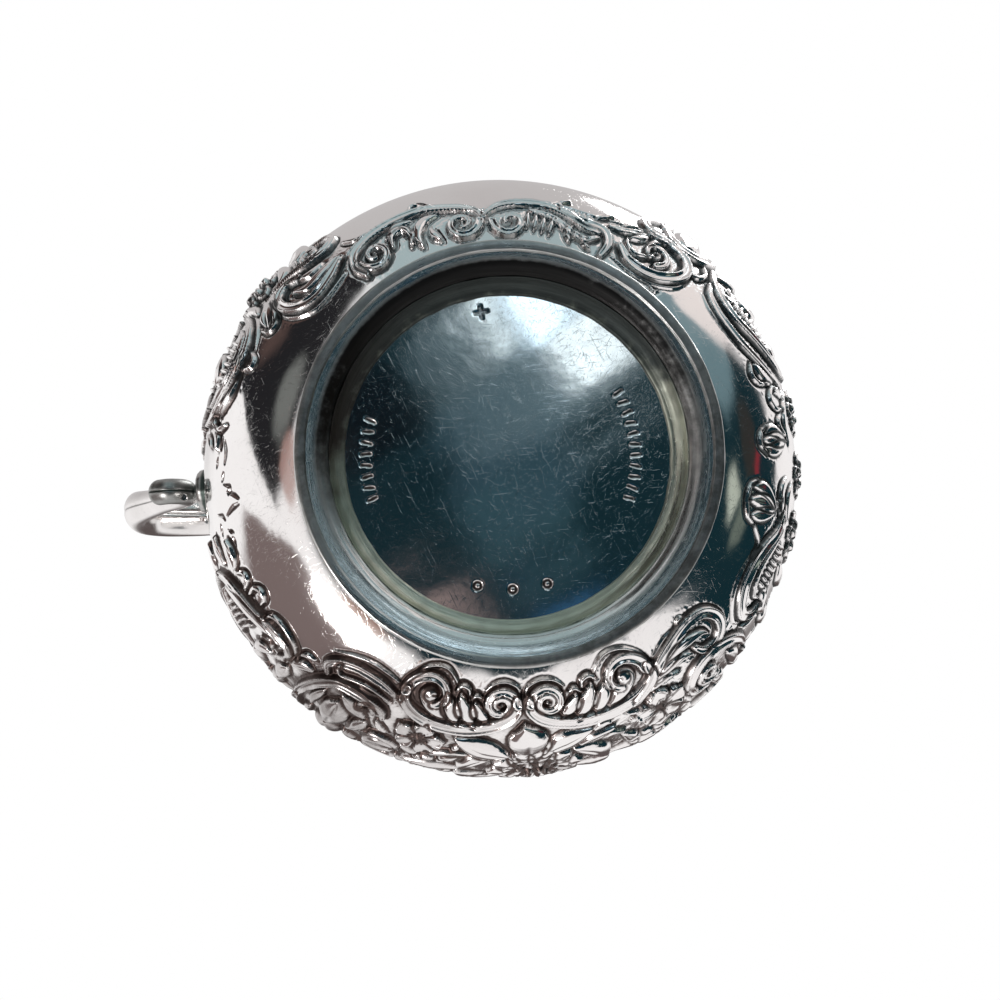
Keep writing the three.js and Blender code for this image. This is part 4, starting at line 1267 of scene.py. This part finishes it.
seam_section = smooth_section([
    (SEAM_RADIUS + 1.0, SEAM_HEIGHT - 0.95),
    (SEAM_RADIUS + 1.8, SEAM_HEIGHT - 0.6),
    (SEAM_RADIUS + 1.3, SEAM_HEIGHT + 0.1),
    (SEAM_RADIUS + 1.1, SEAM_HEIGHT + 0.8),
    (SEAM_RADIUS + 0.1, SEAM_HEIGHT + 0.95),
    (SEAM_RADIUS - 0.1, SEAM_HEIGHT + 0.2),
])
shoulder = turned_piece("shoulder_band", seam_section, 720, rough=0.015, seed=60)
settle(shoulder, polished, "silver_polished", "shoulder_wire")

foot = build_foot()
settle(foot, worn, "silver_worn", "foot_ring")
foot_section = smooth_section([
    (FOOT_RADIUS - 1.45, 0.12),
    (FOOT_RADIUS - 1.05, 0),
    (FOOT_RADIUS - 0.25, 0.03),
    (FOOT_RADIUS, 0.35),
    (FOOT_RADIUS, 0.95),
    (FOOT_RADIUS - 0.3, 1.3),
    (FOOT_RADIUS - 1.4, 1.32),
    (FOOT_RADIUS - 1.55, 0.8),
])
# Underneath, the wire is darkened all round, a little less towards -Y, and hardly at all towards the lower
# left (+Y, -X), which leaves a painted highlight there.
WIRE_COLUMNS, WIRE_SIDE = 1080, 28.9  # beyond this radius is the wire's outer side
foot_turn = turns(WIRE_COLUMNS)
wire_darkening_and_highlight = 0.5 - 0.18 * np.clip(-np.sin(foot_turn), 0, 1)
wire_darkening_and_highlight = wire_darkening_and_highlight - 0.42 * np.clip(np.cos(foot_turn - 2.2), 0, 1) ** 6
wire_darkening_and_highlight = np.where((foot_section[:, 0] < WIRE_SIDE)[:, None], wire_darkening_and_highlight[None, :], 0.22)
foot_edge = turned_piece("foot_edge_wire", foot_section, WIRE_COLUMNS, rough=0.02, seed=80, grime=wire_darkening_and_highlight)
settle(foot_edge, worn, "silver_worn", "foot_wire")

FILLET_COLUMNS = 900
wall = JOINT_RADIUS - 0.8
solder_section = np.vstack([
    bezier([(wall - 1.9, 4.93), (wall - 0.7, 4.78), (wall - 0.05, 4.3), (wall + 0.1, 2.6)], 14),
    [(wall + 0.25, 2.7), (wall + 0.25, 5.5), (wall - 1.9, 5.5)],
])
fillet_turn = turns(FILLET_COLUMNS)
# The fillet is painted darker, as painted shade, over its -Y half and more towards the wall, with some random
# unevenness.
shaded = 1.1 * np.clip(-np.sin(fillet_turn + 0.2) * 1.9 + 0.1, 0, 1) + uneven(FILLET_COLUMNS, 60, 0.1, 9)
across_fillet = np.linspace(0.5, 1.1, len(solder_section))[:, None]
fillet_grime = np.clip(shaded * across_fillet + 0.1, 0, 1)
fillet = turned_piece(
    "solder_fillet", solder_section, FILLET_COLUMNS, rough=0.04, seed=120, grime=fillet_grime
)
settle(fillet, solder, "solder", "foot_solder_ring")

right_half = build_handle(-1, "handle_half_right")
settle(right_half, handled, "silver_worn", "handle_shell_right")
left_half = build_handle(1, "handle_half_left")

# The small hole that lets air out of the hollow handle.
VENT_SHARE, VENT_RADIUS, VENT_DEPTH = 0.93, 0.45, 2.2  # place along the handle, and size
VENT_ASIDE, VENT_BELOW = 0.95, 1.75  # of the handle's middle line
vent_x, vent_z = handle_at(np.array([VENT_SHARE]))[0][0]
bpy.ops.mesh.primitive_cylinder_add(
    vertices=32,
    radius=VENT_RADIUS * MM,
    depth=VENT_DEPTH * MM,
    location=(vent_x * MM + AXIS_X, VENT_ASIDE * MM, (vent_z - VENT_BELOW) * MM),
)
drill = bpy.context.object
cut_vent = left_half.modifiers.new("vent", "BOOLEAN")
cut_vent.object, cut_vent.operation, cut_vent.solver = drill, "DIFFERENCE", "EXACT"
bpy.context.view_layer.objects.active = left_half
bpy.ops.object.modifier_apply(modifier="vent")
bpy.data.objects.remove(drill)
settle(left_half, handled, "silver_worn", "handle_shell_left")

lower_pad = build_pad("handle_plate_lower", 35.2, 3.3, 4.5, thick=1.7, strut_r=0.9, strut_x=-46.0, seed=150)
settle(lower_pad, handled, "silver_worn", "handle_lower_pad")
upper_pad = build_pad("handle_plate_upper", 65.5, 3.8, 3.9, thick=0.95, strut_r=0, strut_x=0, seed=170)
settle(upper_pad, handled, "silver_worn", "handle_upper_pad")

# ---------------------------------------------------------------- floor
bpy.ops.mesh.primitive_plane_add(size=6, location=(0, 0, 0))
floor = bpy.context.object
floor.name = "floor"
floor_material = new_material("floor_pale")
n = Nodes(floor_material.node_tree)
speckle = n.noise(n.node("ShaderNodeTexCoord").outputs["Object"], 90, 4)
top_side = n.node("ShaderNodeBsdfPrincipled", Roughness=n.span(speckle, 0.3, 0.7, 0.6, 0.75))
top_side.inputs["Base Color"].default_value = (0.86, 0.86, 0.855, 1)
clear = n.node("ShaderNodeBsdfTransparent")
both = n.node("ShaderNodeMixShader", Fac=n.node("ShaderNodeNewGeometry").outputs["Backfacing"])
floor_material.node_tree.links.new(top_side.outputs[0], both.inputs[1])
floor_material.node_tree.links.new(clear.outputs[0], both.inputs[2])
n.node("ShaderNodeOutputMaterial", Surface=both.outputs[0])
floor.data.materials.append(floor_material)
# Seen only directly, so the underside is lit and mirrored as if the jug were held up.
floor.visible_glossy = False
floor.visible_diffuse = False
floor.visible_transmission = False
floor.visible_shadow = False

# ---------------------------------------------------------------- light
world = bpy.data.worlds.new("studio")
bpy.context.scene.world = world
world.use_nodes = True
world.node_tree.nodes.clear()
n = Nodes(world.node_tree)
way = n.node("ShaderNodeTexCoord").outputs["Generated"]


def aim(azimuth, polar):
    """The unit vector at an azimuth from +X towards +Y and a polar angle from straight down, in degrees."""
    a, p = math.radians(azimuth), math.radians(polar)
    return (math.cos(a) * math.sin(p), math.sin(a) * math.sin(p), -math.cos(p))


def bent(amount, scale):
    """The looked-at direction, bent a little by noise, so that no patch has a ruled edge."""
    wobble = n.node("ShaderNodeTexNoise", Vector=way, Scale=scale, Detail=3.0).outputs["Color"]
    steps = (("SUBTRACT", wobble, (0.5, 0.5, 0.5)), ("MULTIPLY", None, (amount,) * 3), ("ADD", None, way))
    value = None
    for operation, first, second in steps:
        made = n.node("ShaderNodeVectorMath", operation=operation)
        world.node_tree.links.new(first or value, made.inputs[0])
        if isinstance(second, tuple):
            made.inputs[1].default_value = second
        else:
            world.node_tree.links.new(second, made.inputs[1])
        value = made.outputs[0]
    unit = n.node("ShaderNodeVectorMath", operation="NORMALIZE")
    world.node_tree.links.new(value, unit.inputs[0])
    return unit.outputs[0]


def along(vector, direction, low_end, high_end):
    """Smooth step of how far a looked-at direction goes along another."""
    dot = n.node("ShaderNodeVectorMath", operation="DOT_PRODUCT")
    world.node_tree.links.new(vector, dot.inputs[0])
    dot.inputs[1].default_value = direction
    return n.span(dot.outputs["Value"], low_end, high_end)


COARSE, FINE = bent(0.22, 3.2), bent(0.07, 14.0)


def patch(azimuth, polar, inner, outer, vector):
    """1 within inner degrees of a direction, 0 beyond outer degrees."""
    return along(vector, aim(azimuth, polar), math.cos(math.radians(outer)), math.cos(math.radians(inner)))


def edge(first, second):
    """The normal of the plane through two directions: the ruled edge between two reflected things."""
    normal = np.cross(aim(*first), aim(*second))
    return tuple(normal / np.linalg.norm(normal))


# What the silver mirrors: azimuth and polar angle, inner and outer size, colour, strength, bend, ruled edge.
PATCHES = (
    (-90, 118, 38, 66, (0.52, 0.50, 0.50), 0.95, COARSE, None),
    (70, 152, 15, 34, (0.06, 0.04, 0.037), 0.95, COARSE, None),
    (0, 0, 34, 42, (0.006, 0.021, 0.028), 1.0, COARSE, None),
    (-84, 58, 22, 34, (0.34, 0.44, 0.46), 0.95, COARSE, None),
    (150, 82, 27, 34, (0.165, 0.12, 0.115), 0.97, FINE, edge((165, 55), (178, 95))),
    (210, 78, 32, 37, (0.016, 0.016, 0.018), 1.0, FINE, edge((200, 98), (162, 46))),
    (228, 98, 12, 20, (0.10, 0.065, 0.058), 0.9, COARSE, None),
    (206, 58, 5, 12, (0.2, 0.21, 0.2), 0.8, FINE, None),
    (188, 47, 6, 9, (0.42, 0.27, 0.24), 0.85, FINE, None),
    (12, 72, 40, 45, (0.006, 0.024, 0.032), 1.0, FINE, None),
    (-34, 66, 15, 19, (0.15, 0.24, 0.27), 0.95, COARSE, None),
    (-50, 88, 19, 23, (0.86, 0.80, 0.78), 0.97, FINE, None),
    (62, 62, 24, 28, (0.93, 0.91, 0.91), 0.97, FINE, None),
    (2, 61, 3, 7, (0.50, 0.55, 0.47), 0.9, COARSE, None),
    (9, 74, 4, 9, (0.16, 0.19, 0.16), 0.8, COARSE, None),
    (-9, 78, 7, 10, (0.03, 0.03, 0.028), 1.0, FINE, None),
    (-3, 86, 1.6, 3.2, (0.30, 0.03, 0.04), 0.8, FINE, None),
    (138, 40, 4, 8, (0.33, 0.18, 0.13), 0.8, FINE, None),
    (110, 44, 5, 8, (0.25, 0.17, 0.15), 0.6, FINE, None),
    (-65, 7, 1, 6, (0.03, 0.066, 0.09), 0.9, FINE, None),
    (-68, 14.5, 2, 9, (0.10, 0.16, 0.19), 0.8, FINE, None),
    (-85, 19.5, 0.5, 2.6, (2.8, 3.2, 3.4), 1.0, FINE, None),
    (-83.5, 15.6, 0.4, 1.9, (1.5, 1.8, 1.9), 0.95, FINE, None),
    (-71, 20, 0.8, 2.6, (2.2, 2.8, 3.2), 1.0, FINE, None),
    (-70, 16.4, 0.5, 2.1, (1.9, 2.5, 2.9), 1.0, FINE, None),
    (-55, 20.5, 0.8, 3.0, (2.8, 3.1, 3.2), 1.0, FINE, None),
    (-56, 16.4, 0.5, 2.1, (1.9, 2.2, 2.3), 0.95, FINE, None),
    (-62, 25, 4, 8, (0.4, 0.5, 0.55), 0.8, FINE, None),
    (-48, 102, 2.5, 8, (1.8, 2.1, 2.2), 0.9, FINE, None),
    (-124, 11.3, 1.5, 5.5, (0.003, 0.004, 0.006), 0.85, FINE, None),
    (-140, 12.7, 0.3, 1.3, (0.35, 0.25, 0.22), 0.6, FINE, None),
    (-14, 3.6, 0.5, 4.5, (0.04, 0.092, 0.115), 0.6, FINE, None),
    (114, 5.2, 1.2, 3.4, (0.30, 0.23, 0.22), 0.9, FINE, None),
    (38, 8.8, 0.9, 2.8, (0.04, 0.13, 0.27), 0.9, FINE, None),
    (178, 11, 1.0, 2.4, (0.26, 0.19, 0.19), 0.7, FINE, None),
)
base = n.node("ShaderNodeRGB")
base.outputs[0].default_value = (0.97, 0.955, 0.955, 1)
colour = base.outputs[0]
for azimuth, polar, inner, outer, paint, strength, vector, plane in PATCHES:
    share = n.math("MULTIPLY", patch(azimuth, polar, inner, outer, vector), strength)
    if plane:
        share = n.math("MULTIPLY", share, along(vector, plane, -0.008, 0.008))
    colour = n.mix(share, colour, paint)
seen = n.node("ShaderNodeLightPath").outputs["Is Camera Ray"]
colour = n.mix(seen, colour, (1.0, 1.0, 1.0))
glow = n.node("ShaderNodeBackground", Color=colour, Strength=1.0)
n.node("ShaderNodeOutputWorld", Surface=glow.outputs[0])


def softbox(name, location, target, size, power, tint):
    """A round lamp that faces a target."""
    lamp = bpy.data.lights.new(name, "AREA")
    lamp.shape, lamp.size, lamp.energy, lamp.color = "DISK", size, power, tint
    thing = bpy.data.objects.new(name, lamp)
    bpy.context.scene.collection.objects.link(thing)
    thing.location = location
    thing.rotation_mode = "QUATERNION"
    thing.rotation_quaternion = (Vector(target) - Vector(location)).to_track_quat("-Z", "Y")


softbox("key", (-0.55, 0.45, -0.5), (0, 0, 0.03), 0.3, 3.0, (1.0, 0.97, 0.96))
softbox("fill", (0.5, -0.6, 0.7), (0, 0, 0.03), 0.5, 6.0, (1.0, 1.0, 1.0))

# ---------------------------------------------------------------- camera
camera_data = bpy.data.cameras.new("camera")
camera_data.lens, camera_data.sensor_width = 80, 36
camera_data.clip_start = 0.01
camera = bpy.data.objects.new("camera", camera_data)
bpy.context.scene.collection.objects.link(camera)

EYE = Vector((-17.46 * MM + AXIS_X, 33.25 * MM, -295.66 * MM))
RIGHT = Vector((0.9976, 0.0487, -0.0486)).normalized()
AHEAD = Vector((0.0529, -0.0902, 0.9945)).normalized()
BACK = -AHEAD
UP = BACK.cross(RIGHT).normalized()
RIGHT = UP.cross(BACK)
camera.matrix_world = Matrix.Translation(EYE) @ Matrix((RIGHT, UP, BACK)).transposed().to_4x4()
bpy.context.scene.camera = camera
bpy.context.scene.view_settings.view_transform = "Standard"
